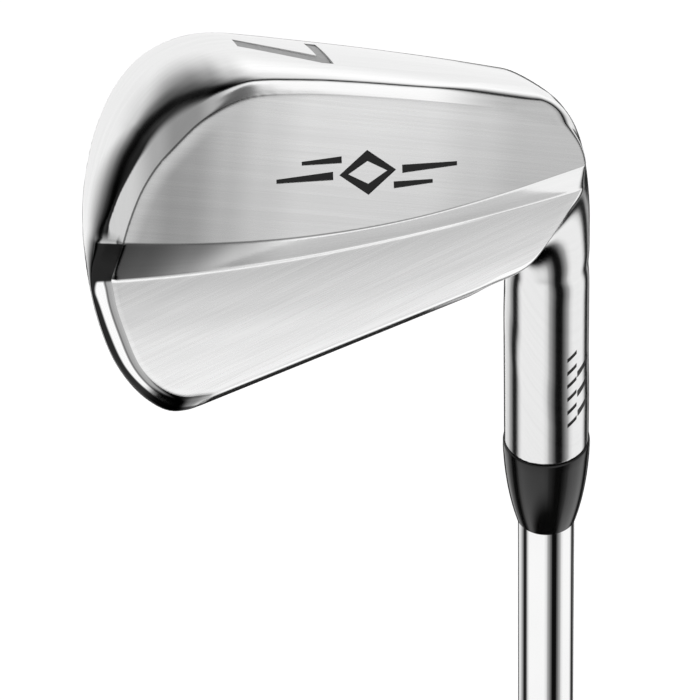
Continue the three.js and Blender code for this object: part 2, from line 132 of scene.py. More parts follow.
def unit(vectors):
    return vectors / np.linalg.norm(vectors, axis=-1, keepdims=True)


# The club stands upside down, so the ferrule's highest point is its foot, which stands on the hosel's end.
FERRULE_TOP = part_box("ferrule")[1].z / MM
FERRULE_GAP = 0.1
CLUB_LENGTH = FERRULE_TOP + HOSEL_TOP + FERRULE_GAP

HEAD = shift(0, 0, CLUB_LENGTH) @ turned_about("Y", -(math.pi / 2 + LIE))
BLADE_IN_HEAD = shift(0, LEAD_Y, LEAD_Z) @ turned_about("X", math.pi / 2 + LOFT)
HOSEL_IN_HEAD = turned_about("Y", LIE - math.pi / 2)
BLADE = HEAD @ BLADE_IN_HEAD
HOSEL = HEAD @ HOSEL_IN_HEAD
HOSEL_IN_BLADE = np.linalg.inv(BLADE_IN_HEAD) @ HOSEL_IN_HEAD


# ---- curves and lofts

def topline(u):
    return TOPLINE_START + TOPLINE_RISE * u


def muscle_depth(v):
    return MUSCLE_THICK - (v - 5) * math.tan(MUSCLE_TAPER)


def ease(value, low, high):
    t = np.clip((value - low) / (high - low), 0, 1)
    return t * t * (3 - 2 * t)


def spline(controls, count):
    """Evenly spaced points along a centripetal Catmull-Rom curve, without its last point."""
    p = np.array(controls, float)
    p = np.vstack([2 * p[0] - p[1], p, 2 * p[-1] - p[-2]])
    knots = np.concatenate([[0], np.cumsum(np.linalg.norm(np.diff(p, axis=0), axis=1) ** 0.5)])
    dense = []
    for i in range(1, len(p) - 2):
        t0, t1, t2, t3 = knots[i - 1:i + 3]
        t = np.linspace(t1, t2, 80, endpoint=False)[:, None]
        a1 = ((t1 - t) * p[i - 1] + (t - t0) * p[i]) / (t1 - t0)
        a2 = ((t2 - t) * p[i] + (t - t1) * p[i + 1]) / (t2 - t1)
        a3 = ((t3 - t) * p[i + 1] + (t - t2) * p[i + 2]) / (t3 - t2)
        b1 = ((t2 - t) * a1 + (t - t0) * a2) / (t2 - t0)
        b2 = ((t3 - t) * a2 + (t - t1) * a3) / (t3 - t1)
        dense.append(((t2 - t) * b1 + (t - t1) * b2) / (t2 - t1))
    dense.append(p[-2:-1])
    dense = np.vstack(dense)
    reach = np.concatenate([[0], np.cumsum(np.linalg.norm(np.diff(dense, axis=0), axis=1))])
    wanted = np.linspace(0, reach[-1], count, endpoint=False)
    return np.column_stack([np.interp(wanted, reach, dense[:, k]) for k in range(3)])


def hermite(knots, values, at):
    """A smooth curve through values at uneven knots."""
    knots, values = np.array(knots, float), np.array(values, float)
    slope = np.gradient(values, knots, axis=0)
    i = np.clip(np.searchsorted(knots, at, side="right") - 1, 0, len(knots) - 2)
    span = (knots[i + 1] - knots[i])[:, None]
    t = (np.asarray(at)[:, None] - knots[i][:, None]) / span
    h00, h10 = 2 * t**3 - 3 * t**2 + 1, t**3 - 2 * t**2 + t
    h01, h11 = -2 * t**3 + 3 * t**2, t**3 - t**2
    return h00 * values[i] + h10 * span * slope[i] + h01 * values[i + 1] + h11 * span * slope[i + 1]


def corner(before, at, after, reach, steps):
    """Rings that round the corner at one ring, starting and ending a given reach away from it."""
    back, ahead = before - at, after - at
    back_length = np.linalg.norm(back, axis=1, keepdims=True)
    ahead_length = np.linalg.norm(ahead, axis=1, keepdims=True)
    start = at + back * np.minimum(reach / back_length, 0.48)
    end = at + ahead * np.minimum(reach / ahead_length, 0.48)
    shares = np.linspace(0, 1, steps)
    return [(1 - s) ** 2 * start + 2 * s * (1 - s) * at + s**2 * end for s in shares]


def loft(rings):
    """Points and quads of a closed skin through rings of equal point count, with a fan over each end."""
    count = len(rings[0])
    points = np.vstack(rings + [rings[0].mean(0, keepdims=True), rings[-1].mean(0, keepdims=True)])
    i = np.arange(count)
    following = (i + 1) % count
    first_quads = np.column_stack([i, following, count + following, count + i])
    quads = [first_quads + ring * count for ring in range(len(rings) - 1)]
    last = (len(rings) - 1) * count
    first_fan = np.column_stack([np.full(count, len(points) - 2), following, i])
    last_fan = np.column_stack([np.full(count, len(points) - 1), last + i, last + following])
    return points, np.vstack(quads), np.vstack([first_fan, last_fan])


# ---- blade outlines
#
# Closed lines run anticlockwise around the blade as seen from behind: the outer edge at the face, the rim
# where the sole and the toe end, and the crown where the flat back begins. Each is a chain of five
# stretches with matching ends: sole, toe sweep, toe top, topline and heel.

STRETCH_POINTS = [320, 400, 240, 80, 160]

OUTER = [
    [[-7, 6], [-4, 2.2], [1.5, -0.6], [10, -1.4], [30, -2], [50, -2.1]],
    [[50, -2.1], [59.2, -1.8], [65, -0.3], [70.2, 2.6], [74, 6.9], [76.7, 12.6], [78.1, 19], [78.4, 24.5],
     [78, 29]],
    [[78, 29], [76.9, 34], [75, 39.7], [72.1, 45.2], [69, 48.7], [65.6, 51.1], [62.4, 52.3],
     [59.6, 52.1], [TOPLINE_TOE, topline(TOPLINE_TOE)]],
    [[TOPLINE_TOE, topline(TOPLINE_TOE)], [8, topline(8)]],
    [[8, topline(8)], [1, 28], [-4, 21], [-7, 13], [-7, 6]],
]

RIM = [
    [[-2.3, 8.8, 9.4], [0.5, 5.8, 9.65], [4.9, 4.2, 9.75], [11.8, 3.35, 9.75], [30.3, 3.6, 9.65],
     [44, 4.05, 9.62], [50.3, 4.5, 9.6]],
    [[50.3, 4.5, 9.6], [54, 4.85, 9.6], [57.4, 5.45, 9.58], [61.2, 7, 9.42], [64.8, 9.1, 9.12],
     [68.7, 11.9, 8.75], [71.9, 14.9, 8.5], [74.7, 18.1, 8.35], [77.1, 22.3, 8.1], [78.6, 26.5, 7.8],
     [78.8, 29.4, 7.2]],
    [[78.8, 29.4, 7.2], [78.5, 31.5, 5.6], [78, 33.3, 3.9], [77.2, 35.4, 2.6], [76, 38, 2], [74.2, 41.8, 1.8],
     [72, 45.4, 1.8], [68.9, 48.9, 1.8], [65.5, 51.2, 1.9], [62.3, 52.4, 2.1], [59.6, 52.15, 2.25],
     [TOPLINE_TOE, topline(TOPLINE_TOE), TOPLINE_RIM]],
    [[TOPLINE_TOE, topline(TOPLINE_TOE), TOPLINE_RIM], [8, topline(8), TOPLINE_RIM]],
    [[8, topline(8), TOPLINE_RIM], [2, 27.6, 5.2], [-3.4, 23.2, 6.6], [-4.9, 18.5, 7.4], [-4.3, 13, 8.4],
     [-2.3, 8.8, 9.4]],
]

CROWN = [
    [[-2.4, 12, 10], [1.8, 7.8, 10.3], [7, 6.2, 10.15], [14, 5.8, 10.1], [30, 5.9, 10.1], [44, 6.35, 10.08],
     [50, 6.8, 10.05]],
    [[50, 6.8, 10.05], [54, 7.2, 10], [57.3, 7.9, 9.97], [61.1, 9.45, 9.88], [65.1, 11.8, 9.75],
     [68.4, 14.9, 9.55], [71.1, 17.8, 9.37], [73.4, 21.2, 9.15], [74.9, 25, 8.93], [76.2, 29.4, 8.64]],
    [[76.2, 29.4, 8.64], [76, 31.2, 7.37], [75.8, 33, 6.1], [75.4, 34.9, 4.95], [74.4, 38.3, 4.95],
     [72.6, 42, 4.95], [70.1, 46.2, 4.95], [67.4, 48.6, 4.95], [64.5, 50, 4.95], [61.9, 50.35, 4.95],
     [59.5, 50.05, 4.95], [TOPLINE_TOE, topline(TOPLINE_TOE) - CHAMFER, 4.95]],
    [[TOPLINE_TOE, topline(TOPLINE_TOE) - CHAMFER, 4.95], [8, topline(8) - CHAMFER, 4.95]],
    [[8, topline(8) - CHAMFER, 4.95], [4, 28, 5.4], [-1.2, 24.6, 7], [-3.6, 21.5, 8], [-4.2, 16.5, 9.7],
     [-2.4, 12, 10]],
]

MIDDLE = np.array([37.0, 25.0])  # of the blade, in u and v
TRAILING_ROLL = 1.0, 3.5  # extra curl of the sole just before the rim, along the middle and at the toe


def outline(stretches):
    parts = []
    for controls, count in zip(stretches, STRETCH_POINTS):
        points = [(*c, EDGE_ROUND) if len(c) == 2 else c for c in controls]
        parts.append(spline(points, count))
    return np.vstack(parts)


def shrunk(ring, inset, depth):
    """The ring moved inwards towards the middle of the blade, at one depth."""
    inward = unit(MIDDLE - ring[:, :2]) * inset
    return np.column_stack([ring[:, :2] + inward, np.full(len(ring), depth)])


def cambered(outer, rim, share):
    """A ring between the outer edge and the rim, bulged away from the blade."""
    chord = rim - outer
    along = np.roll(outer, -1, axis=0) - outer
    out = unit(np.cross(along, chord))
    steep = np.minimum(1, np.linalg.norm(chord, axis=1, keepdims=True) / MUSCLE_THICK)
    at_toe = ease(rim[:, :1], 58, 76)
    middle_roll, toe_roll = TRAILING_ROLL
    curl = middle_roll + (toe_roll - middle_roll) * at_toe
    roll = curl * share ** (4 - 1.5 * at_toe) * (1 - share)
    bulge = SOLE_CAMBER * 4 * share * (1 - share) + roll
    return outer + chord * share + out * steep * bulge


CAMBER_RINGS = 24
CAMBER_START, CAMBER_END = 0.08, 0.97  # shares of the way from the outer edge to the rim
HEEL_CAMBER_LESS = 0.18  # the camber ends sooner at the heel, where the rim is rounder
LEADING_ROUND = 1.1
RIM_ROUND = 0.5
HEEL_RIM_ROUND = 1.1  # more of it at the heel
SOLE_PART = slice(0, STRETCH_POINTS[0])
TOPLINE_PART = slice(sum(STRETCH_POINTS[:3]), sum(STRETCH_POINTS[:4]))


def blade_rings():
    """Rings from the face to the crown: rounded leading edge, cambered sole, rounded rim and bevel."""
    outer, rim, crown = outline(OUTER), outline(RIM), outline(CROWN)
    face = shrunk(outer, EDGE_ROUND * 0.6, 0)
    at_heel = ease(rim[:, :1], 26, 13)
    shares = np.linspace(CAMBER_START, CAMBER_END - HEEL_CAMBER_LESS * at_heel, CAMBER_RINGS)
    camber = [cambered(outer, rim, share) for share in shares]
    edge = corner(face, outer, camber[0], LEADING_ROUND, 6)
    rim_round = RIM_ROUND + HEEL_RIM_ROUND * at_heel
    trailing = corner(camber[-1], rim, crown, rim_round, 8)
    return [face] + edge + camber + trailing + [crown]


def raw_blade(rings):
    """The blade before its back is cut."""
    return loft([shrunk(rings[0], 4, 0)] + rings + [shrunk(rings[-1], 0.5, LID)])


# ---- neck

SECTION = 13.0  # u where the neck's skin lies on the blade's
OVERLAP = 2.5
NECK_COLUMNS = 480
NECK_RINGS = 70

# Turns about the neck, in degrees from the topline over the back, where the section's stretches meet.
TURN = {"face_top": -18, "crown_top": 14, "crown_foot": 135, "face_foot": 218}

# The back of the neck's end as shares of the way from the topline to the crown's foot, and depths there.
BACK_SWELL = [(0.12, 6.2), (0.35, 8.6), (0.6, 10.6), (0.85, 11.2)]

# Where the blade's straight lines give way to the neck's sweep: u at a turn, and how full the sweep is.
SWEEP = [(-18, 4, 0.55), (14, 2, 0.58), (60, -4, 0.66), (100, -3, 0.64), (150, 5, 0.66), (180, 7, 0.66),
         (218, 6, 0.62), (280, 4, 0.6), (342, 4, 0.55)]


def crossings(rings, part):
    """Where each ring's stretch crosses the section, and its direction there, towards the toe."""
    points = []
    for u in (SECTION, SECTION + 1):
        row = []
        for ring in rings:
            stretch = ring[part]
            if stretch[0, 0] > stretch[-1, 0]:
                stretch = stretch[::-1]
            row.append([u] + [np.interp(u, stretch[:, 0], stretch[:, k]) for k in (1, 2)])
        points.append(np.array(row))
    return points[0], unit(points[1] - points[0])


def along_turns(points, directions, start, end, turn):
    """Spreads a run of section points evenly over a range of turns."""
    reach = np.concatenate([[0], np.cumsum(np.linalg.norm(np.diff(points, axis=0), axis=1))])
    at = (turn - start) / (end - start) * reach[-1]
    place = np.column_stack([np.interp(at, reach, points[:, k]) for k in range(3)])
    heading = np.column_stack([np.interp(at, reach, directions[:, k]) for k in range(3)])
    return place, unit(heading)


def section_at(rings, turn):
    """Point and direction on the blade's section at each turn."""
    top, top_heading = crossings(rings, TOPLINE_PART)
    sole, sole_heading = crossings(rings, SOLE_PART)
    back_share = np.array([share for share, _ in BACK_SWELL])
    back_v = top[-1, 1] + (sole[-1, 1] - top[-1, 1]) * back_share
    back = np.column_stack([np.full(len(back_v), SECTION), back_v, [depth for _, depth in BACK_SWELL]])
    back = np.vstack([spline(np.vstack([top[-1:], back, sole[-1:]]), 60), sole[-1:]])
    blend = np.linspace(0, 1, len(back))[:, None]
    back_heading = unit(top_heading[-1] * (1 - blend) + sole_heading[-1] * blend)
    face = np.vstack([sole[:1], top[:1]])
    face_heading = np.vstack([sole_heading[:1], top_heading[:1]])
    runs = [
        (top, top_heading, TURN["face_top"], TURN["crown_top"]),
        (back, back_heading, TURN["crown_top"], TURN["crown_foot"]),
        (sole[::-1], sole_heading[::-1], TURN["crown_foot"], TURN["face_foot"]),
        (face, face_heading, TURN["face_foot"], TURN["face_top"] + 360),
    ]
    place, heading = np.zeros((len(turn), 3)), np.zeros((len(turn), 3))
    for points, directions, start, end in runs:
        inside = (turn >= start) & (turn < end)
        place[inside], heading[inside] = along_turns(points, directions, start, end, turn[inside])
    return place, heading


def reach_to_meeting(start, down, end, back):
    """How far to go along two lines to where they pass closest to each other."""
    between = end - start
    cross = np.einsum("ij,ij->i", down, back)
    along_down = np.einsum("ij,ij->i", between, down)
    along_back = np.einsum("ij,ij->i", between, back)
    a = (along_down - along_back * cross) / (1 - cross**2)
    b = (along_down * cross - along_back) / (1 - cross**2)
    return a[:, None], b[:, None]


def neck(rings):
    """A skin that sweeps the round hosel down and out towards the toe, onto the blade's section."""
    turn = TURN["face_top"] + np.arange(NECK_COLUMNS) * 360 / NECK_COLUMNS
    section, heading = section_at(rings, turn)
    sweep_u, fullness = hermite([row[0] for row in SWEEP], [row[1:] for row in SWEEP], turn).T[:, :, None]
    end = section - heading * (SECTION - sweep_u) / heading[:, :1]
    angle = -np.radians(turn)
    circle = np.column_stack([HOSEL_RADIUS * np.cos(angle), HOSEL_RADIUS * np.sin(angle),
                              np.full(len(turn), NECK_TOP)])
    start = moved(HOSEL_IN_BLADE, circle)
    down = np.tile(-HOSEL_IN_BLADE[:3, 2], (len(turn), 1))
    down_reach, back_reach = reach_to_meeting(start, down, end, -heading)
    b, c = start + down * down_reach * fullness, end - heading * back_reach * fullness
    skin = [start - down * 0.5]
    for t in np.linspace(0, 1, NECK_RINGS + 1):
        skin.append((1 - t) ** 3 * start + 3 * t * (1 - t) ** 2 * b + 3 * t**2 * (1 - t) * c + t**3 * end)
    skin += [section, section + heading * OVERLAP]
    return loft(skin)


# ---- distance fields

class Block:
    """A box of grid points in the blade frame, as three open coordinate arrays."""
    low = np.floor(np.array(BLOCK_LOW) / GRID).astype(int)
    shape = tuple(np.ceil((np.array(BLOCK_HIGH) - np.array(BLOCK_LOW)) / GRID).astype(int) + 1)
    u, v, w = np.ogrid[tuple(slice(n, n + s) for n, s in zip(low, shape))]
    u, v, w = (a.astype(np.float32) * GRID for a in (u, v, w))


def field_of(skin):
    """Signed distance to a closed skin at each grid point, capped at BAND cells."""
    points, quads, triangles = skin
    grid = openvdb.FloatGrid.createLevelSetFromPolygons(
        points.astype(np.float32), triangles=triangles.astype(np.uint32), quads=quads.astype(np.uint32),
        transform=openvdb.createLinearTransform(voxelSize=GRID), halfWidth=BAND)
    values = np.zeros(Block.shape, np.float32)
    grid.copyToArray(values, ijk=tuple(int(n) for n in Block.low))
    return values


def smooth_max(a, b, reach):
    """The larger of two fields, which cuts one solid with another, with a fillet along the edge."""
    mix = np.maximum(reach - np.abs(a - b), 0)
    return np.maximum(a, b) + mix * mix / (4 * reach)


def smooth_min(a, b, reach):
    return -smooth_max(-a, -b, reach)


# The step between the muscle and the thin blade: u, v of its foot on the blade, v of its lip on the muscle.
STEP = [(-9, 15.6, 11), (0, 18.3, 14.2), (14, 22.3, 19), (30, 26.4, 23.5), (45, 29.8, 26.5),
        (65, 33.4, 28.9), (80, 35.4, 29.7)]
FOOT_FILLET = 0.25
LIP_FILLET = 0.2
CROWN_FILLET = 0.2
THIN_FILLET = 0.8  # around the thin blade
HEEL_FILLET = 0.9
HEEL_BLEND_FROM, HEEL_BLEND_TO = 10, 3
END_EDGE = 0.3  # rounding of the hosel's end


def back_planes():
    """Distances past the muscle's tapered back, past the step below it and past the thin blade's back."""
    u = Block.u.ravel()
    foot, lip = hermite([row[0] for row in STEP], [row[1:] for row in STEP], np.clip(u, -9, 80)).T
    lip_depth = muscle_depth(lip)
    foot, lip, lip_depth = (a.astype(np.float32)[:, None, None] for a in (foot, lip, lip_depth))
    rise = lip_depth - BLADE_THICK
    muscle = (Block.w - muscle_depth(Block.v)) * math.cos(MUSCLE_TAPER)
    thin = Block.w - BLADE_THICK
    step = ((Block.v - foot) * rise - thin * (lip - foot)) / np.hypot(lip - foot, rise)
    return muscle, step, thin


def hosel_coordinates():
    """Distance from the shaft axis, and height along it, at each grid point."""
    inverse = np.linalg.inv(HOSEL_IN_BLADE)
    x, y, z = (inverse[k, 0] * Block.u + inverse[k, 1] * Block.v + inverse[k, 2] * Block.w + inverse[k, 3]
               for k in range(3))
    return np.hypot(x, y).astype(np.float32), z.astype(np.float32)


CROTCH_SOFTENING = 1.3  # spread of the blur


def softened(values, spread):
    """The values blurred by a Gaussian along each axis in turn."""
    reach = int(3 * spread / GRID)
    steps = np.arange(-reach, reach + 1)
    weights = np.exp(-0.5 * (steps * GRID / spread) ** 2)
    weights /= weights.sum()
    for axis in range(3):
        padded = np.pad(values, [(reach, reach) if k == axis else (0, 0) for k in range(3)], mode="edge")
        total = np.zeros_like(values)
        for step, weight in zip(steps + reach, weights):
            total += weight * np.take(padded, range(step, step + values.shape[axis]), axis=axis)
        values = total
    return values


def soften_crotch(body):
    """Blurs the neck where the topline runs into it, and nowhere else."""
    heel = slice(0, int((SECTION - BLOCK_LOW[0]) / GRID))
    part = body[heel]
    share = ease(Block.u[heel], 11, 6) * ease(Block.v, 17, 23) * ease(Block.w, 8, 4) * ease(Block.w, -24, -19)
    body[heel] = part + (softened(part, CROTCH_SOFTENING) - part) * share


def head_field():
    """The head's distance field, and the differences of fields that vanish along the edges of its back."""
    rings = blade_rings()
    blade = np.maximum(field_of(raw_blade(rings)), SECTION + 1 - Block.u)
    radius, height = hosel_coordinates()
    ends = np.maximum(height - HOSEL_TOP, NECK_TOP - 0.2 - height)
    tube = smooth_max(radius - HOSEL_RADIUS, ends, END_EDGE)
    body = np.minimum(blade, np.minimum(field_of(neck(rings)), tube))
    soften_crotch(body)
    near_heel = np.clip((HEEL_BLEND_FROM - Block.u) / (HEEL_BLEND_FROM - HEEL_BLEND_TO), 0, 1)
    muscle, step, thin = back_planes()
    back = smooth_min(smooth_max(muscle, step, LIP_FILLET), thin, FOOT_FILLET)
    edges = {"crown": body - back, "lip": muscle - step, "foot": np.maximum(muscle, step) - thin}
    reach = CROWN_FILLET + (THIN_FILLET - CROWN_FILLET) * ease(Block.w, 5.7, 5.0)
    reach = reach + (HEEL_FILLET - reach) * near_heel
    body = smooth_max(body, back, reach.astype(np.float32))
    bore = np.maximum(radius - BORE_RADIUS, BORE_FLOOR - height)
    return np.maximum(body, -bore), edges


def samples(values, points, order):
    """Values of a grid at points in the blade frame, linear (order 1) or smooth cubic (order 3)."""
    at = points / GRID - Block.low
    base = np.floor(at).astype(int)
    t = at - base
    if order == 1:
        steps, weights = (0, 1), [1 - t, t]
    else:
        steps = (-1, 0, 1, 2)
        weights = [
            -0.5 * t + t**2 - 0.5 * t**3, 1 - 2.5 * t**2 + 1.5 * t**3,
            0.5 * t + 2 * t**2 - 1.5 * t**3, -0.5 * t**2 + 0.5 * t**3,
        ]
    total = np.zeros(len(points))
    for i, wx in zip(steps, weights):
        for j, wy in zip(steps, weights):
            for k, wz in zip(steps, weights):
                found = values[base[:, 0] + i, base[:, 1] + j, base[:, 2] + k]
                total += wx[:, 0] * wy[:, 1] * wz[:, 2] * found
    return total


def edge_distance(difference, points):
    """Signed distance to the edge where two surfaces meet, from the difference of their fields."""
    slope = [samples(difference, points + step, 1) - samples(difference, points - step, 1)
             for step in np.eye(3) * GRID]
    steepness = np.linalg.norm(slope, axis=0) / (2 * GRID)
    return samples(difference, points, 1) / np.maximum(steepness, 0.1)


def normals_from(slopes, points):
    return unit(np.column_stack([samples(s, points, 1) for s in slopes]))


def skin_from(field, slopes):
    """Points and quads where the field is zero, settled onto the surface."""
    grid = openvdb.FloatGrid(float(BAND))
    grid.copyFromArray(field, ijk=tuple(int(n) for n in Block.low))
    grid.transform = openvdb.createLinearTransform(voxelSize=GRID)
    points, quads = grid.convertToQuads(isovalue=0.0)
    points = points.astype(float)
    for _ in range(2):
        miss = np.clip(samples(field, points, 3), -GRID, GRID)
        points -= normals_from(slopes, points) * miss[:, None]
    return points, quads


# ---- mesh objects

def mesh_object(name, points, faces, body=ROOT):
    """A smooth-shaded mesh from points in the row frame, in millimetres."""
    mesh = bpy.data.meshes.new(name)
    if isinstance(faces, np.ndarray):
        faces = faces.tolist()
    mesh.from_pydata((np.asarray(points) * MM).tolist(), [], faces)
    mesh.shade_smooth()
    mesh.update()
    piece = bpy.data.objects.new(name, mesh)
    bpy.context.scene.collection.objects.link(piece)
    if body:
        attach(piece, body)
    return piece


# ---- engraved pockets

MARK_DEPTH = 0.5
FILL_GAP = 0.06
NUMBER_DEPTH = 0.9
SOLE_SLANT = math.radians(35)

MARK_PLACE = 35.6, 16.6  # u and v of its middle
MARK = (shift(*MARK_PLACE, muscle_depth(MARK_PLACE[1])) @ turned_about("X", -MUSCLE_TAPER)
        @ turned_about("Z", math.radians(189)))
NUMBER = basis((0, math.sin(SOLE_SLANT), math.cos(SOLE_SLANT)), (-1, 0, 0),
               (0, -math.cos(SOLE_SLANT), math.sin(SOLE_SLANT)), (48.6, -0.05, 4.5))

LOZENGE = {"length": 10, "height": 6.4, "wall": 1}
BARS = [
    {"start": 6.2, "end": 16, "at": 0, "wide": 1.1, "narrow": 0.5},
    {"start": -6.2, "end": -16, "at": 0, "wide": 1.1, "narrow": 0.5},
    {"start": 4.6, "end": 11.5, "at": -2.2, "wide": 0.9, "narrow": 0.45},
    {"start": -4.6, "end": -11.5, "at": 2.2, "wide": 0.9, "narrow": 0.45},
]
HOSEL_BARS = [
    {"count": 6, "first": 51.2, "pitch": 2.75, "across": 1.7, "lean": 0.5, "thick": 0.7, "turn": 261},
    {"count": 3, "first": 54.8, "pitch": 4.1, "across": 3, "lean": 0.8, "thick": 1.2, "turn": 238},
]


def prism(corners, low, high, matrix, low_corners=None):
    """A closed solid from a flat outline down to the same outline, or another, at a lower height."""
    count = len(corners)
    bottom = [(x, y, low) for x, y in (low_corners or corners)]
    points = moved(matrix, bottom + [(x, y, high) for x, y in corners])
    sides = [(i, (i + 1) % count, count + (i + 1) % count, count + i) for i in range(count)]
    return points, [tuple(reversed(range(count))), tuple(range(count, 2 * count))] + sides


def anticlockwise(corners):
    area = sum(a[0] * b[1] - b[0] * a[1] for a, b in zip(corners, corners[1:] + corners[:1]))
    return corners if area > 0 else corners[::-1]


def diamond(length, height):
    return [(length / 2, 0), (0, height / 2), (-length / 2, 0), (0, -height / 2)]


def lozenge_pocket():
    """A lozenge ring as four bars, mitred where they meet."""
    grow = FILL_GAP
    outer = diamond(LOZENGE["length"] + 2 * grow, LOZENGE["height"] + 2 * grow)
    less = 3 * LOZENGE["wall"] + 2 * grow
    inner = diamond(LOZENGE["length"] - less, LOZENGE["height"] - less)
    points = [(x, y, z) for z in (-MARK_DEPTH, 1) for ring in (outer, inner) for x, y in ring]
    faces = []
    for i in range(4):
        j = (i + 1) % 4
        floor_and_lid = [(4 + i, 4 + j, j, i), (8 + i, 8 + j, 12 + j, 12 + i)]
        faces += floor_and_lid + [(i, j, 8 + j, 8 + i), (12 + i, 12 + j, 4 + j, 4 + i)]
    return moved(MARK, points), faces


def bar_pocket(bar):
    side = math.copysign(1, bar["end"] - bar["start"])
    start, end = bar["start"] - side * FILL_GAP, bar["end"] + side * FILL_GAP
    wide, narrow = bar["wide"] / 2 + FILL_GAP, bar["narrow"] / 2 + FILL_GAP
    at = bar["at"]
    corners = [(start, at - wide), (end, at - narrow), (end, at + narrow), (start, at + wide)]
    return prism(anticlockwise(corners), -MARK_DEPTH, 1, MARK)


def number_pocket():
    """The club number: a bar across the sole and a long slanted stem."""
    across, top, under, stem = 2.8 + FILL_GAP, 7.5 + FILL_GAP, 5.6 - FILL_GAP, 0.9 + FILL_GAP
    corners = [(-across, top), (-across, under), (across - 2 * stem, under), (-1 - stem, -top),
               (-1 + stem, -top), (across, under), (across, top)]
    return prism(anticlockwise(corners), -NUMBER_DEPTH, 3, NUMBER)


def hosel_pocket(row, place):
    """One slanted bar in the hosel's wall."""
    wide, half, lean = row["across"] / 2 + FILL_GAP, row["thick"] / 2 + FILL_GAP, row["lean"]
    corners = [(-wide, -lean - half), (wide, lean - half), (wide, lean + half), (-wide, -lean + half)]
    angle = math.radians(row["turn"])
    out = np.array([math.cos(angle), math.sin(angle), 0])
    around = np.array([-math.sin(angle), math.cos(angle), 0])
    at = out * (HOSEL_RADIUS - MARK_DEPTH) + np.array([0, 0, row["first"] + row["pitch"] * place])
    return prism(corners, 0, 1, HOSEL_IN_BLADE @ basis(around, (0, 0, 1), out, at))


def groove(i):
    """One scoreline with sloping walls and run-out ends, cut into the face."""
    heel = max(GROOVE["heel"], GROOVE_STEP["heel"] + GROOVE_STEP["step"] * (i - GROOVE_STEP["first"]))
    middle = GROOVE["first"] + GROOVE["pitch"] * i

    def rectangle(end, half):
        return [(heel + end, middle - half), (GROOVE["toe"] - end, middle - half),
                (GROOVE["toe"] - end, middle + half), (heel + end, middle + half)]

    slope = (GROOVE["width"] - GROOVE["floor"]) / 2
    above = GROOVE["width"] / 2 + slope * 0.5 / GROOVE["depth"]
    flip = basis((1, 0, 0), (0, -1, 0), (0, 0, -1))
    top = [(x, -y) for x, y in rectangle(-0.4, above)][::-1]
    floor = [(x, -y) for x, y in rectangle(0.8, GROOVE["floor"] / 2)][::-1]
    return prism(top, -GROOVE["depth"], 0.5, flip, floor)


def pockets():
    """Every cutter as one list of points and faces, in the blade frame."""
    parts = [groove(i) for i in range(GROOVE["count"])]
    parts += [lozenge_pocket(), number_pocket()]
    parts += [bar_pocket(bar) for bar in BARS]
    parts += [hosel_pocket(row, i) for row in HOSEL_BARS for i in range(row["count"])]
    points, faces, start = [], [], 0
    for part_points, part_faces in parts:
        points.append(part_points)
        faces += [tuple(start + k for k in face) for face in part_faces]
        start += len(part_points)
    return np.vstack(points), faces


def cut(piece, cutter):
    """Subtracts the cutter from the piece and removes it."""
    modifier = piece.modifiers.new("pockets", "BOOLEAN")
    modifier.operation = "DIFFERENCE"
    modifier.solver = "MANIFOLD"
    modifier.object = cutter
    evaluated = piece.evaluated_get(bpy.context.evaluated_depsgraph_get())
    mesh = bpy.data.meshes.new_from_object(evaluated)
    piece.modifiers.clear()
    piece.data = mesh
    bpy.data.objects.remove(cutter)


NORMALS_AGREE = 0.6  # cosine of the widest angle between a field's normal and a face's on one skin


def store(mesh, name, vectors):
    """Keeps one vector per point for the materials to read."""
    attribute = mesh.attributes.new(name, "FLOAT_VECTOR", "POINT")
    attribute.data.foreach_set("vector", vectors.astype(np.float32).ravel())


def gathered(items, name, kind, width=1):
    """One property of every item of a mesh, in rows of the given width."""
    values = np.zeros(len(items) * width, kind)
    items.foreach_get(name, values)
    return values.reshape(-1, width)


def settle_normals(piece, slopes, edges):
    """Takes each corner's normal from the distance field, except on pocket walls, and stores blade places."""
    mesh = piece.data
    places = gathered(mesh.vertices, "co", np.float32, 3) / MM
    blade_places = moved(np.linalg.inv(BLADE), places)
    distances = [edge_distance(edges[name], blade_places) for name in ("crown", "lip", "foot")]
    smooth = normals_from(slopes, blade_places) @ BLADE[:3, :3].T
    store(mesh, "blade", blade_places)
    store(mesh, "edges", np.column_stack(distances))
    corner_vertex = gathered(mesh.loops, "vertex_index", np.int32).ravel()
    face_size = gathered(mesh.polygons, "loop_total", np.int32).ravel()
    flat = np.repeat(gathered(mesh.polygons, "normal", np.float32, 3), face_size, axis=0)
    corner_normal = smooth[corner_vertex]
    agrees = np.einsum("ij,ij->i", corner_normal, flat) > NORMALS_AGREE
    mesh.shade_smooth()
    mesh.normals_split_custom_set(np.where(agrees[:, None], corner_normal, flat).tolist())


def head():
    field, edges = head_field()
    slopes = np.gradient(field, GRID)
    points, quads = skin_from(field, slopes)
    piece = mesh_object("head_forging", moved(BLADE, points), quads)
    cutter_points, cutter_faces = pockets()
    cutter = mesh_object("pocket_cutter", moved(BLADE, cutter_points), cutter_faces, None)
    cut(piece, cutter)
    settle_normals(piece, slopes, edges)
    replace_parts(piece, "head")
    return piece


# ---- turned pieces

SIDES = 144  # faces around the shaft axis
SHARP = math.radians(35)

TIP_RADIUS = 4.52
BUTT_RADIUS = 7.62
FIRST_RADIUS = 4.75  # of the tip section, just before the first step
SHAFT_WALL = 0.5
SHAFT_TIP = CLUB_LENGTH - 40.2
SHAFT_BUTT = 5.4
TIP_PARALLEL = 60
STEPS = {"count": 13, "first": 262, "pitch": 44.45, "cone": 1.5}

BAND_LABEL = {"from": 286, "to": 323, "gap": 0.1, "thick": 0.15}

FERRULE_LENGTH = 17
FERRULE_FOOT, FERRULE_SHOULDER, FERRULE_END = 6.9, 6.6, 4.78

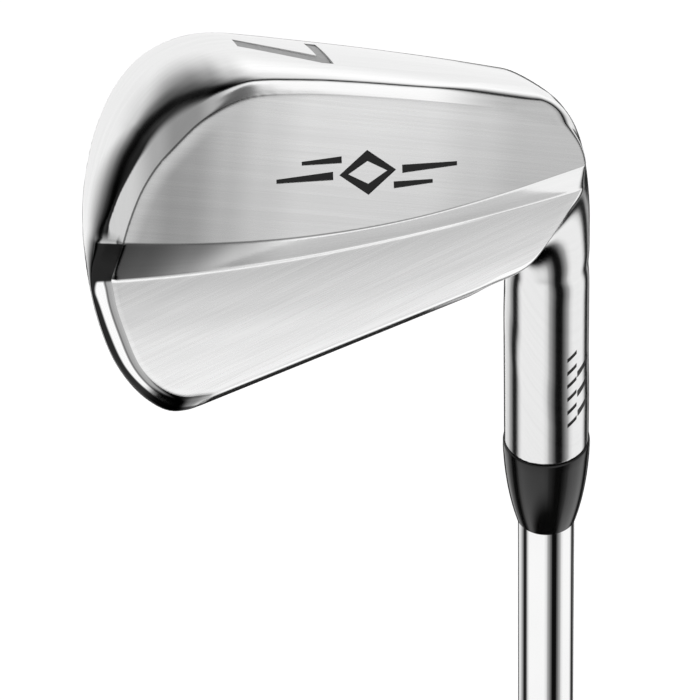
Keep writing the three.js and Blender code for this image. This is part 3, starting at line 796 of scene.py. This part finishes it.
GRIP_LENGTH = 267
SLEEVE_FOOT = 4.9
SLEEVE_WALL = 0.5  # around the shaft, filled by the tape
GRIP_RINGS = 440
GRIP_SIDES = 176
CAP = {"radius": 14.4, "depth": 4.6, "round": 1.2, "vent": 1.6}


def bezier(start, middle, end, count):
    """Points on a quadratic curve."""
    start, middle, end = (np.array(p, float) for p in (start, middle, end))
    shares = np.linspace(0, 1, count)
    return [tuple((1 - t) ** 2 * start + 2 * t * (1 - t) * middle + t**2 * end) for t in shares]


def rounded(before, at, after, reach, count=5):
    """Points that round one corner of a profile."""
    before, at, after = (np.array(p, float) for p in (before, at, after))
    start = at + unit(before - at) * reach
    end = at + unit(after - at) * reach
    return bezier(start, at, end, count)


def turned(profile, sides=SIDES, radius_at=None):
    """Points and quads of a ring about Z from a closed, anticlockwise run of [radius, z] points."""
    profile = np.array(profile, float)
    angle = np.arange(sides) * 2 * math.pi / sides
    radius = np.repeat(profile[:, :1], sides, axis=1)
    if radius_at is not None:
        radius = radius + radius_at(profile[:, 1:], angle[None, :])
    height = np.repeat(profile[:, 1:], sides, axis=1)
    points = np.stack([radius * np.cos(angle), radius * np.sin(angle), height], axis=-1).reshape(-1, 3)
    ring, side = np.meshgrid(np.arange(len(profile)), np.arange(sides), indexing="ij")
    next_ring, next_side = (ring + 1) % len(profile), (side + 1) % sides
    corners = [(ring, side), (ring, next_side), (next_ring, next_side), (next_ring, side)]
    return points, np.stack([r * sides + a for r, a in corners], axis=-1).reshape(-1, 4)


def turned_object(name, shape, material, matrix=None):
    points, faces = shape
    if matrix is not None:
        points = moved(matrix, points)
        if np.linalg.det(matrix[:3, :3]) < 0:
            faces = faces[:, ::-1]
    piece = mesh_object(name, points, faces)
    piece.data.set_sharp_from_angle(angle=SHARP)
    piece.data.materials.append(material)
    return piece


def step_height(i):
    return SHAFT_TIP - STEPS["first"] - STEPS["pitch"] * i


def step_radius(i):
    return FIRST_RADIUS + (BUTT_RADIUS - FIRST_RADIUS) * i / STEPS["count"]


def shaft_corners():
    """The shaft's wall from the butt to the tip: each step is a short cone between two parallel sections."""
    corners = [(BUTT_RADIUS, SHAFT_BUTT)]
    for i in reversed(range(STEPS["count"])):
        foot = (step_radius(i + 1), step_height(i))
        head_end = (step_radius(i), step_height(i) + STEPS["cone"])
        above = (step_radius(i), head_end[1] + 10)
        below = (step_radius(i + 1), foot[1] - 10)
        corners += rounded(below, foot, head_end, 0.5)
        corners += rounded(foot, head_end, above, 0.5)
    corners += [(TIP_RADIUS, SHAFT_TIP - TIP_PARALLEL), (TIP_RADIUS, SHAFT_TIP)]
    return corners


def shaft(material):
    outside = shaft_corners()
    rings = []
    for (r0, z0), (r1, z1) in zip(outside, outside[1:]):
        parts = max(1, round((z1 - z0) / 12))
        rings += [(r0 + (r1 - r0) * k / parts, z0 + (z1 - z0) * k / parts) for k in range(parts)]
    rings.append(outside[-1])
    inside = [(radius - SHAFT_WALL, z) for radius, z in rings[::8] + rings[-1:]]
    piece = turned_object("shaft_tube", turned(rings + inside[::-1]), material)
    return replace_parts(piece, "shaft")


def shaft_radius(z):
    corners = shaft_corners()
    return float(np.interp(z, [c[1] for c in corners], [c[0] for c in corners]))


def band_label(material):
    low, high = BAND_LABEL["from"], BAND_LABEL["to"]
    radius = shaft_radius((low + high) / 2)
    inner, outer = radius + BAND_LABEL["gap"], radius + BAND_LABEL["gap"] + BAND_LABEL["thick"]
    heights = np.linspace(low, high, 9)
    profile = [(outer, z) for z in heights] + [(inner, z) for z in heights[::-1]]
    piece = turned_object("shaft_band_label", turned(profile), material)
    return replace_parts(piece, "shaft_band")


def ferrule(material):
    """Flush with the hosel at its foot, then a soft curve down to the shaft."""
    foot = HOSEL_TOP + FERRULE_GAP
    top = foot + FERRULE_LENGTH
    inner = TIP_RADIUS + 0.06
    shoulder = (FERRULE_SHOULDER, foot + 0.6 * FERRULE_LENGTH)
    side = bezier((FERRULE_FOOT, foot + 1.5), shoulder, (FERRULE_END, top), 40)
    lip = rounded((inner, foot), (FERRULE_FOOT, foot), side[0], 0.25)
    tip = rounded(side[-2], side[-1], (inner, top), 0.08)
    wall = lip + side[:-1] + tip
    profile = wall + [(inner, top), (inner, foot)]
    piece = turned_object("hosel_ferrule", turned(profile), material, HOSEL)
    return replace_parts(piece, "ferrule")


def grip_wall():
    """The sleeve's smooth outside, before its texture, as radius for each height."""
    curve = np.array(bezier((13.1, SLEEVE_FOOT + 3), (10.2, GRIP_LENGTH / 2), (8.3, GRIP_LENGTH - 1), 200))
    heights = np.linspace(SLEEVE_FOOT, GRIP_LENGTH, GRIP_RINGS)
    radius = np.interp(heights, curve[:, 1], curve[:, 0])
    foot_flare = 0.5 * np.clip(1 - (heights - SLEEVE_FOOT) / 3, 0, 1) ** 2
    mouth = np.clip((heights - (GRIP_LENGTH - 1.2)) / 1.2, 0, 1)
    return heights, radius + foot_flare - 0.6 * mouth**2


TEXTURE_ZONES = [(20, 116), (126, 232)]
RING_GROOVES = [12, 15.5, 119, 123, 238, 243, 248, 258]
LATTICE = {"starts": 18, "rise": 4.6, "depth": 0.32}
RING_DEPTH = 0.3


def grip_texture(z, angle):
    """How far the moulded pattern sinks: crossing helical grooves in two zones, and rings between them."""
    lattice = 0
    for sense in (1, -1):
        phase = z / LATTICE["rise"] + sense * angle * LATTICE["starts"] / (2 * math.pi)
        lattice = np.maximum(lattice, ease(np.abs(phase % 1 - 0.5), 0.28, 0.42))
    zone = sum(ease(z, low, low + 1.5) * (1 - ease(z, high - 1.5, high)) for low, high in TEXTURE_ZONES)
    rings = sum(np.exp(-((z - at) / 0.7) ** 2) for at in RING_GROOVES)
    return -LATTICE["depth"] * lattice * zone - RING_DEPTH * rings * np.ones_like(angle)


def grip_sleeve(material):
    """The sleeve, whose wall is smooth inside and textured outside."""
    heights, radius = grip_wall()
    outside = list(zip(radius, heights))
    inside = [(shaft_radius(z) + SLEEVE_WALL, z) for z in heights[::8]]
    inside[-1] = (shaft_radius(GRIP_LENGTH) + SLEEVE_WALL, GRIP_LENGTH)
    count = len(outside)

    def texture(z, angle):
        depth = grip_texture(z, angle)
        depth[count:] = 0
        return depth

    shape = turned(outside + inside[::-1], GRIP_SIDES, texture)
    piece = turned_object("grip_sleeve_rubber", shape, material)
    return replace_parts(piece, "grip_sleeve")


def grip_cap(material):
    """A soft-edged disc with a vent hole and a shallow ring groove around its side."""
    radius, depth, reach, vent = (CAP[key] for key in ("radius", "depth", "round", "vent"))
    low, high = (radius, 0), (radius, depth)
    profile = [(vent + 0.4, 0), (6, 0), (10, 0)]
    profile += rounded((vent, 0), low, high, reach, 8)
    profile += [(radius, 2.2), (radius - 0.25, 2.45), (radius - 0.25, 2.75), (radius, 3)]
    profile += rounded(low, high, (vent, depth), 0.7, 6)
    profile += [(10, depth), (6, depth), (vent, depth), (vent, 0.4)]
    piece = turned_object("grip_butt_cap", turned(profile), material)
    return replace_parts(piece, "grip_cap")


# ---- node graphs

class Graph:
    """Builds shader nodes. An input may be a number, a colour, a vector or another node's output."""

    def __init__(self, tree):
        self.nodes, self.links = tree.nodes, tree.links

    def node(self, kind, inputs=None, **settings):
        item = self.nodes.new("ShaderNode" + kind)
        for key, value in settings.items():
            setattr(item, key, value)
        for key, value in (inputs or {}).items():
            self.put(item.inputs[key], value)
        return item

    def put(self, socket, value):
        if isinstance(value, bpy.types.NodeSocket):
            self.links.new(value, socket)
        else:
            socket.default_value = value

    def math(self, operation, a, b=0.0, c=0.0):
        return self.node("Math", {0: a, 1: b, 2: c}, operation=operation).outputs[0]

    def times(self, *factors):
        """The product of several numbers."""
        total = factors[0]
        for factor in factors[1:]:
            total = self.math("MULTIPLY", total, factor)
        return total

    def without(self, share):
        return self.math("SUBTRACT", 1.0, share)

    def vector(self, operation, a, b=(0, 0, 0)):
        item = self.node("VectorMath", {0: a, 1: b}, operation=operation)
        return item.outputs["Value" if operation == "DOT_PRODUCT" else "Vector"]

    def split(self, vector):
        return self.node("SeparateXYZ", {"Vector": vector}).outputs[:3]

    def smooth(self, value, low, high, at_low=0.0, at_high=1.0):
        """Eases from one value to another as the input goes from low to high."""
        item = self.node("MapRange", {"Value": value, "From Min": low, "From Max": high, "To Min": at_low,
                                      "To Max": at_high}, interpolation_type="SMOOTHSTEP", clamp=True)
        return item.outputs[0]

    def ramp(self, value, stops, low, high):
        """A grey level through (input, level) stops, between two inputs."""
        share = self.node("MapRange", {"Value": value, "From Min": low, "From Max": high}, clamp=True)
        item = self.node("ValToRGB", {"Fac": share.outputs[0]})
        elements = item.color_ramp.elements
        item.color_ramp.interpolation = "EASE"
        while len(elements) < len(stops):
            elements.new(0.5)
        for element, (at, level) in zip(elements, stops):
            element.position = (at - low) / (high - low)
            element.color = grey(level)
        return item.outputs["Color"]

    def between(self, kind, slots, values):
        item = self.node("Mix", data_type=kind)
        for slot, value in zip(slots, values):
            self.put(item.inputs[slot], value)
        return item

    def mix(self, share, a, b):
        """A colour between a and b."""
        return self.between("RGBA", (0, 6, 7), (share, a, b)).outputs[2]

    def blend(self, share, a, b):
        """A number between a and b."""
        return self.between("FLOAT", (0, 2, 3), (share, a, b)).outputs[0]

    def colour(self, level):
        return self.node("CombineColor", {0: level, 1: level, 2: level}).outputs[0]

    def shaded(self, colour, share):
        return self.vector("MULTIPLY", colour, self.colour(share))

    def noise(self, place, scale, detail=2.0, roughness=0.5):
        inputs = {"Vector": place, "Scale": scale, "Detail": detail, "Roughness": roughness}
        return self.node("TexNoise", inputs).outputs["Fac"]

    def streaks(self, place, stretch, detail=3.0):
        """Fine scratches: noise squeezed across them and drawn out along them."""
        return self.noise(self.vector("MULTIPLY", place, stretch), 1.0, detail, 0.6)

    def around(self, share, middle):
        """A factor that wavers about 1 by a share, as the input goes from 0 to 1."""
        return self.math("MULTIPLY_ADD", self.math("SUBTRACT", middle, 0.5), 2 * share, 1.0)

    def wavering(self, level, share, middle):
        return self.math("MULTIPLY", level, self.around(share, middle))

    def parabola(self, x, terms):
        start, rise, bend = terms
        return self.math("MULTIPLY_ADD", self.math("MULTIPLY_ADD", x, bend, rise), x, start)

    def near(self, distance, reach):
        """1 along the line where the distance is zero, fading out at a reach from it."""
        return self.smooth(self.math("ABSOLUTE", distance), reach * 0.3, reach, 1.0, 0.0)


def grey(level):
    return (level, level, level, 1)


def facing(azimuth, elevation):
    """The direction at an azimuth, from +Y towards +X, and an elevation, in degrees."""
    a, e = math.radians(azimuth), math.radians(elevation)
    return (math.sin(a) * math.cos(e), math.cos(a) * math.cos(e), math.sin(e))


# ---- materials

class Material(Graph):
    """A new material whose surface is a Principled shader."""

    def __init__(self, name):
        self.made = bpy.data.materials.new(name)
        self.made.use_nodes = True
        super().__init__(self.made.node_tree)

    def place(self):
        """The object's own coordinates, in millimetres."""
        return self.vector("MULTIPLY", self.node("TexCoord").outputs["Object"], (1 / MM, 1 / MM, 1 / MM))

    def surface(self, **inputs):
        """Sets inputs of the shader, named as Blender names them, and gives the material."""
        for key, value in inputs.items():
            name = key.upper() if key == "ior" else key.replace("_", " ").title()
            self.put(self.nodes["Principled BSDF"].inputs[name], value)
        return self.made

    def relief(self, height, depth):
        """A normal for a height that goes from 0 to 1, scaled to a depth in millimetres."""
        item = self.node("Bump", {"Height": height, "Distance": depth * MM, "Strength": 1.0})
        return item.outputs["Normal"]


STEP_FOOT = (18.4, 0.29, -0.00096)  # v of the step's foot and of its lip near the toe, as parabolas of u
STEP_LIP = (14.3, 0.366, -0.00217)
RIM_DEPTH = (5.16, 0.1752, -0.0018)  # w of the rim around the toe, as a parabola of u
RIM_LIFT = 3.5  # how much less deep it is above the toe's widest place
THIN_RIM = 6.5, 2.3, 0.5  # w of the rim beside the step, beside the thin blade, and what the topline adds

# Grey levels of the metal, which are painted reflections and painted shading: along u on the muscle, its
# bevel and the step, up from the step's foot on the thin blade, and out from the flat back around the lower
# toe, where they paint bands of reflection.
MUSCLE_PAINTED_SHADING = [(-4, 0.5), (8, 0.5), (16, 0.58), (26, 0.68), (36, 0.7), (46, 0.69), (54, 0.6), (60, 0.49),
                (66, 0.36), (69, 0.34), (73, 0.42)]
BEVEL_PAINTED_REFLECTION = [(-6, 0.97), (56, 0.97), (60, 0.7), (63, 0.4), (66, 0.27), (69, 0.27), (72, 0.38), (76, 0.6)]
STEP_PAINTED_REFLECTION = [(8, 0.85), (30, 1.0), (46, 1.0), (56, 0.66), (64, 0.4), (72, 0.24), (78, 0.16)]
THIN_PAINTED_SHADING = [(0, 0.58), (5, 0.69), (9, 0.82), (13, 0.88)]
TOE_PAINTED_REFLECTION = [(0, 0.45), (0.65, 0.36), (0.9, 0.14), (1.2, 0.95)]
# The dark line along the crown is painted shade.
CROWN_PAINTED_SHADE = [(20, 0.0), (50, 0.12), (60, 0.5), (66, 0.8)]  # how strong the dark line along the crown is
EDGE_LIGHT = 0.8  # everywhere but on the back
HITTING_LIGHT = 0.52
# Level of the painted highlight on the muscle beside its bevel at the toe.
TOE_PAINTED_HIGHLIGHT = 0.62  # the muscle beside its bevel, at the toe
# Level of the painted black reflections at the toe.
PAINTED_BLACK = 0.02

BELT_CENTRE = 46.0, 26.0  # u and v around which the sole and the rim were polished
SCRATCH_SLOPE = math.atan(TOPLINE_RISE) + 0.05


def blade_readings(graph):
    """A point's place on the blade, its distances to the back's edges, and how far it faces backwards."""
    place = graph.node("Attribute", attribute_name="blade").outputs["Vector"]
    u, v, w = graph.split(place)
    crown, lip, foot = graph.split(graph.node("Attribute", attribute_name="edges").outputs["Vector"])
    out = graph.vector("DOT_PRODUCT", graph.node("NewGeometry").outputs["Normal"], tuple(BLADE[:3, 2]))
    return SimpleNamespace(place=place, u=u, v=v, w=w, crown=crown, lip=lip, foot=foot, out=out)


def flat_zones(graph, at):
    """Shares, from 0 to 1, of the flat parts of the back and of the face."""
    above_lip = graph.smooth(at.lip, -0.04, 0.04)
    past_foot = graph.smooth(at.foot, -0.04, 0.04)
    inside = graph.smooth(at.crown, 0.08, -0.04)
    heel_bevel = graph.times(graph.smooth(at.out, 0.92, 0.97), graph.smooth(at.w, 8.5, 9),
                             graph.smooth(at.u, 27, 12))
    muscle = graph.times(above_lip, graph.math("MAXIMUM", inside, heel_bevel))
    thin = graph.times(past_foot, inside)
    step = graph.times(inside, graph.without(above_lip), graph.without(past_foot))
    front = graph.times(graph.smooth(at.out, -0.98, -0.995), graph.smooth(at.w, 0.2, 0.05))
    hitting = graph.times(front, graph.smooth(at.u, 3.6, 3.9), graph.smooth(at.u, 61.7, 61.4))
    return SimpleNamespace(inside=inside, muscle=muscle, thin=thin, step=step, hitting=hitting,
                           flat=graph.math("MAXIMUM", muscle, thin))


def painted_dark_reflection(graph, at):
    """Share of the painted dark reflection on the rim where the step runs out at the toe."""
    under_lip = graph.smooth(graph.math("SUBTRACT", at.v, graph.parabola(at.u, STEP_LIP)), -0.1, 0.1)
    over_foot = graph.smooth(graph.math("SUBTRACT", at.v, graph.parabola(at.u, STEP_FOOT)), 0.2, -0.2)
    return graph.times(under_lip, over_foot, graph.smooth(at.crown, 0.0, 0.1), graph.smooth(at.u, 66, 68),
                       graph.smooth(at.out, 0.05, 0.15))


def rounded_edges(graph, at, inside):
    """The colour of everything around the flat back: bevel, sole, toe and rim, with painted reflections on
    the bevel and the lower toe, painted shade outside the rim at the toe and a painted black reflection along
    the toe's rim.
    """
    bevel = graph.times(graph.smooth(at.out, 0.6, 0.75), graph.smooth(at.w, 2.5, 4), graph.without(inside))
    colour = graph.mix(bevel, grey(EDGE_LIGHT), graph.ramp(at.u, BEVEL_PAINTED_REFLECTION, -6, 80))

    # Painted shade on the sole around the toe, darkest just past the rim.
    lift = graph.smooth(at.v, 27, 33, 0.0, RIM_LIFT)
    rim_depth = graph.math("SUBTRACT", graph.parabola(at.u, RIM_DEPTH), lift)
    below_rim = graph.math("SUBTRACT", rim_depth, at.w)
    reach = graph.smooth(at.v, 5, 22, 0.5, 5.5)
    shade = graph.smooth(graph.math("DIVIDE", below_rim, reach), 0.0, 1.0, 0.03, 1.0)
    sole_toe_painted_shade = graph.times(graph.smooth(at.out, 0.92, 0.85), graph.smooth(at.u, 54, 62))
    colour = graph.mix(sole_toe_painted_shade, colour, graph.shaded(colour, shade))

    # Painted bands of reflection across the lower toe.
    upper = graph.times(graph.smooth(at.v, 28, 31), graph.smooth(at.out, 0.0, 0.1))
    lower_toe_painted_bands = graph.times(graph.smooth(at.u, 62, 68), upper, graph.without(inside))
    colour = graph.mix(lower_toe_painted_bands, colour, graph.ramp(at.crown, TOE_PAINTED_REFLECTION, 0, 3))
    # A painted black reflection just past the rim around the lower toe.
    by_step, by_thin, by_topline = THIN_RIM
    rim_top = graph.math("ADD", graph.smooth(at.v, 30, 37, by_step, by_thin),
                         graph.smooth(at.v, 46, 50.5, 0.0, by_topline))
    past_rim_painted_black = graph.smooth(graph.math("SUBTRACT", at.w, rim_top), 0.25, -0.1)
    return graph.mix(graph.times(past_rim_painted_black, graph.smooth(at.u, 55, 57), upper), colour, grey(PAINTED_BLACK))


def muscle_painted_shading(graph, at):
    # Painted shading along u, a painted highlight beside the bevel at the toe, and painted shade from lighter
    # at the sole to darker at the step.
    light = graph.ramp(at.u, MUSCLE_PAINTED_SHADING, -6, 80)
    painted_glow = graph.times(graph.smooth(at.crown, -2.0, -0.2), graph.smooth(at.u, 58, 68, 0.0, 0.8))
    return graph.shaded(graph.mix(painted_glow, light, grey(TOE_PAINTED_HIGHLIGHT)), graph.smooth(at.v, 4, 28, 1.08, 0.92))


def painted_edge_lines(graph, at, inside, colour):
    """Painted lines along the step's lip and foot and along the crown: a painted shadow at the lip, a painted
    highlight at the foot and painted shade along the crown.
    """
    lip_painted_shadow = graph.times(graph.near(at.lip, 0.2), inside, graph.smooth(at.u, 8, 26, 0.0, 0.55))
    foot_painted_highlight = graph.times(graph.near(at.foot, 0.35), inside, graph.smooth(at.u, 6, 20))
    crown_painted_shade = graph.times(graph.near(at.crown, 0.22), graph.smooth(at.w, 6, 7),
                             graph.ramp(at.u, CROWN_PAINTED_SHADE, 0, 80))
    for line, level in ((lip_painted_shadow, 0.05), (crown_painted_shade, 0.03), (foot_painted_highlight, 1.0)):
        colour = graph.mix(line, colour, grey(level))
    return colour


def brushed_texture(graph, at, zones):
    """Long scratches on the muscle, slanted ones on the thin blade and belt marks around the edges."""
    grain = graph.streaks(at.place, (0.035, 3.2, 0.1))
    coarse = graph.streaks(at.place, (0.012, 0.9, 0.1), 1.0)
    slanted = graph.node("VectorRotate", {"Vector": at.place, "Angle": SCRATCH_SLOPE}, rotation_type="Z_AXIS",
                         invert=True).outputs[0]
    scratch = graph.streaks(slanted, (0.05, 2.6, 0.1))
    centre_u, centre_v = BELT_CENTRE
    bearing = graph.math("ARCTAN2", graph.math("SUBTRACT", at.v, centre_v),
                         graph.math("SUBTRACT", at.u, centre_u))
    edge_place = graph.node("CombineXYZ", {0: graph.math("MULTIPLY", bearing, 1.2), 1: at.w}).outputs[0]
    belt = graph.streaks(edge_place, (1.0, 2.6, 1.0))
    return graph.blend(zones.muscle, graph.blend(zones.thin, belt, scratch), graph.blend(0.3, grain, coarse))


def satin_chrome():
    """Brushed flats, a frosted hitting area and polished edges, with painted reflections, highlights and
    shade in the colour, placed by the blade's own coordinates.
    """
    graph = Material("satin_chrome")
    at = blade_readings(graph)
    zones = flat_zones(graph, at)
    texture = brushed_texture(graph, at, zones)

    colour = rounded_edges(graph, at, zones.inside)
    # The thin blade, muscle and step levels are painted shading and reflections; the hitting area's grey is
    # its frosted finish.
    for zone, level in ((zones.thin, graph.ramp(at.foot, THIN_PAINTED_SHADING, -2, 14)),
                        (zones.muscle, muscle_painted_shading(graph, at)),
                        (zones.hitting, grey(HITTING_LIGHT)),
                        (zones.step, graph.ramp(at.u, STEP_PAINTED_REFLECTION, 0, 80))):
        colour = graph.mix(zone, colour, level)
    colour = painted_edge_lines(graph, at, zones.inside, colour)
    # A painted dark reflection where the step runs out at the toe.
    colour = graph.mix(painted_dark_reflection(graph, at), colour, grey(PAINTED_BLACK))
    waver = graph.math("MULTIPLY", graph.math("SUBTRACT", texture, 0.5), graph.blend(zones.flat, 0.12, 0.36))
    colour = graph.shaded(colour, graph.math("ADD", waver, 1.0))

    rough = graph.blend(zones.hitting, graph.blend(zones.flat, 0.13, 0.27), 0.46)
    height = graph.blend(zones.hitting, texture, graph.noise(at.place, 7.0))
    return graph.surface(base_color=colour, metallic=1.0, roughness=graph.wavering(rough, 0.25, texture),
                         normal=graph.relief(height, 0.004))


def shaft_chrome():
    """Mirror chrome with faint polishing rings around the shaft."""
    graph = Material("shaft_chrome")
    place = graph.place()
    rings = graph.streaks(place, (0.05, 0.05, 3.0))
    silver = graph.wavering(0.9, 0.03, graph.noise(place, 0.06))
    return graph.surface(base_color=graph.colour(silver), metallic=1.0,
                         roughness=graph.wavering(0.055, 0.3, rings), normal=graph.relief(rings, 0.0006))


def gloss_plastic():
    """Deep black moulded plastic, buffed around its axis."""
    graph = Material("ferrule_plastic")
    rings = graph.streaks(graph.place(), (0.15, 0.15, 4.0))
    return graph.surface(base_color=grey(0.003), ior=1.42, roughness=graph.wavering(0.07, 0.4, rings),
                         normal=graph.relief(rings, 0.0008))


def enamel(name, level):
    """Paint that settled in an engraving, with a slightly dimpled skin."""
    graph = Material(name)
    dimples = graph.noise(graph.place(), 2.5, 3.0)
    return graph.surface(base_color=graph.colour(graph.wavering(level, 0.3, dimples)), ior=1.3,
                         roughness=graph.smooth(dimples, 0.3, 0.7, 0.3, 0.45),
                         normal=graph.relief(dimples, 0.02))


def rubber(name, level):
    """Moulded rubber: dull, with a fine grain and a paler bloom."""
    graph = Material(name)
    place = graph.place()
    grain = graph.noise(place, 3.0, 4.0, 0.6)
    bloom = graph.noise(place, 0.05, 3.0)
    shade = graph.math("MULTIPLY", graph.wavering(level, 0.35, bloom), graph.around(0.2, grain))
    return graph.surface(base_color=graph.colour(shade), roughness=graph.smooth(grain, 0.2, 0.8, 0.5, 0.72),
                         normal=graph.relief(grain, 0.03))


def label_foil():
    """A brushed silver foil band with plain dark rings near both of its edges."""
    graph = Material("label_foil")
    place = graph.place()
    low, high = BAND_LABEL["from"], BAND_LABEL["to"]
    from_middle = graph.math("ABSOLUTE", graph.math("SUBTRACT", graph.split(place)[2], (low + high) / 2))
    from_edge = graph.math("SUBTRACT", (high - low) / 2, from_middle)
    ring = graph.times(graph.smooth(from_edge, 2.9, 3.1), graph.smooth(from_edge, 5.1, 4.9))
    hair = graph.times(graph.smooth(from_edge, 6.0, 6.1), graph.smooth(from_edge, 6.6, 6.5))
    dark = graph.math("MAXIMUM", ring, hair)
    brushed = graph.streaks(place, (2.5, 2.5, 0.05))
    silver = graph.colour(graph.wavering(0.55, 0.2, brushed))
    return graph.surface(base_color=graph.mix(dark, silver, grey(0.015)),
                         metallic=graph.blend(dark, 0.9, 0.0),
                         roughness=graph.wavering(0.36, 0.3, brushed), normal=graph.relief(brushed, 0.003))


def cast_metal():
    """The rough cast weight in the shaft's tip."""
    graph = Material("cast_metal")
    pits = graph.noise(graph.place(), 1.6, 4.0, 0.6)
    return graph.surface(base_color=graph.mix(pits, (0.2, 0.15, 0.07, 1), (0.5, 0.4, 0.2, 1)), metallic=1.0,
                         roughness=graph.smooth(pits, 0.2, 0.8, 0.4, 0.6), normal=graph.relief(pits, 0.05))


def resin():
    """Amber epoxy with small bubbles."""
    graph = Material("resin")
    bubbles = graph.node("TexVoronoi", {"Vector": graph.place(), "Scale": 1.4}).outputs["Distance"]
    return graph.surface(base_color=graph.mix(bubbles, (0.3, 0.19, 0.06, 1), (0.55, 0.4, 0.16, 1)),
                         roughness=0.22, normal=graph.relief(bubbles, 0.04))


def paper_tape():
    """Creped paper tape with fine ridges across it."""
    graph = Material("paper_tape")
    crepe = graph.streaks(graph.place(), (0.4, 0.4, 2.2))
    return graph.surface(base_color=graph.mix(crepe, (0.5, 0.42, 0.28, 1), (0.75, 0.68, 0.5, 1)),
                         roughness=0.85, normal=graph.relief(crepe, 0.04))


# ---- stage, light and camera

WINDOW = facing(8, 10)  # middle of the bright front window, which a dark frame surrounds
FRAME_STOPS = [(50, 0.95), (60, 0.72), (69, 0.3), (75, 0.015), (82, 0.012), (85, 0.2), (90, 0.7), (96, 0.92)]
LOW_FLAG = facing(174, 0)  # middle of the narrow dark flag below the horizon
FLAG_STOPS = [(0, 0.004), (8, 0.006), (13, 0.12), (24, 0.36), (34, 0.85), (44, 1.0)]
# Round flags: direction, angles from it where the flag ends and where the room is clear, and level. The first
# is under the club, and the last darkens the outlines of whatever is seen from the camera's side.
ROUND_FLAGS = [(facing(-150, -78), 15, 28, 0.0), (facing(131, 27), 6, 13, 0.12),
               (facing(25, -42), 16, 22, 0.01)]
STUDIO_STRENGTH = 1.12


def angle_to(graph, direction, towards):
    """Degrees between the direction that the ray goes and another one."""
    aligned = graph.math("MULTIPLY", graph.vector("DOT_PRODUCT", direction, towards), 0.99999)
    return graph.math("MULTIPLY", graph.math("ARCCOSINE", aligned), 180 / math.pi)


def studio():
    """A soft white room with dark flags, as the metal sees it. The camera itself sees plain white."""
    scene = bpy.context.scene
    scene.world = bpy.data.worlds.new("studio")
    scene.world.use_nodes = True
    graph = Graph(scene.world.node_tree)
    direction = graph.node("TexCoord").outputs["Generated"]
    window = graph.ramp(angle_to(graph, direction, WINDOW), FRAME_STOPS, 40, 110)
    level = graph.vector("NORMALIZE", graph.vector("MULTIPLY", direction, (1, 1, 0)))
    low_flag = graph.ramp(angle_to(graph, level, LOW_FLAG), FLAG_STOPS, 0, 50)
    below = graph.smooth(graph.split(direction)[2], -0.2, -0.45)
    light = graph.vector("MULTIPLY", window, graph.mix(below, grey(1.0), low_flag))
    round_flags = graph.times(*(graph.smooth(angle_to(graph, direction, towards), ends, clear, dark, 1)
                                for towards, ends, clear, dark in ROUND_FLAGS))
    round_light = graph.node("CombineXYZ", {k: round_flags for k in range(3)}).outputs[0]
    light = graph.vector("MULTIPLY", light, round_light)
    seen = graph.node("LightPath").outputs["Is Camera Ray"]
    background = graph.nodes["Background"]
    graph.put(background.inputs["Color"], graph.mix(seen, light, grey(1.0)))
    graph.put(background.inputs["Strength"], STUDIO_STRENGTH)


CAMERA_PLACE = (-282.8, -524.0, 1427.9)
CAMERA_TARGET = (-45.8, -25.0, 925.0)
CAMERA_ROLL = math.radians(-1.83)
CAMERA_LENS = 265.4


def camera():
    data = bpy.data.cameras.new("camera")
    data.lens = CAMERA_LENS
    data.clip_end = 100
    item = bpy.data.objects.new("camera", data)
    place, target = Vector(CAMERA_PLACE) * MM, Vector(CAMERA_TARGET) * MM
    roll = Matrix.Rotation(CAMERA_ROLL, 3, "Z").to_quaternion()
    item.rotation_mode = "QUATERNION"
    item.rotation_quaternion = (target - place).to_track_quat("-Z", "Y") @ roll
    item.location = place
    bpy.context.scene.collection.objects.link(item)
    bpy.context.scene.camera = item


FLOOR = 20  # metres from its middle to each side


def floor():
    """A pale floor that lights itself a little and isn't mirrored in the metal."""
    mesh = bpy.data.meshes.new("floor")
    corners = [(-FLOOR, -FLOOR, 0), (FLOOR, -FLOOR, 0), (FLOOR, FLOOR, 0), (-FLOOR, FLOOR, 0)]
    mesh.from_pydata(corners, [], [(0, 1, 2, 3)])
    mesh.materials.append(Material("floor").surface(base_color=grey(0.9), roughness=0.8,
                                                    emission_color=grey(1.0), emission_strength=0.35))
    item = bpy.data.objects.new("floor", mesh)
    bpy.context.scene.collection.objects.link(item)
    item.visible_glossy = False


def repaint(node, material):
    """Gives a CAD node that stays a better material."""
    for material_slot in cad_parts[node].material_slots:
        material_slot.material = material


forging = head()
forging.data.materials.clear()
forging.data.materials.append(satin_chrome())
shaft(shaft_chrome())
ferrule(gloss_plastic())
band_label(label_foil())
grip_sleeve(rubber("grip_rubber", 0.018))
grip_cap(rubber("cap_rubber", 0.011))

mark_paint = enamel("mark_paint", 0.006)
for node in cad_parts:
    if node.startswith(("back_mark", "hosel_mark")):
        repaint(node, mark_paint)
# The number's grey, lighter than black paint, is a painted highlight for the light on the sole.
repaint("sole_number_paint", enamel("number_paint", 0.42))
repaint("tip_weight_plug", cast_metal())
repaint("hosel_bond", resin())
repaint("grip_tape", paper_tape())

camera()
floor()
studio()
bpy.context.scene.view_settings.view_transform = "Standard"
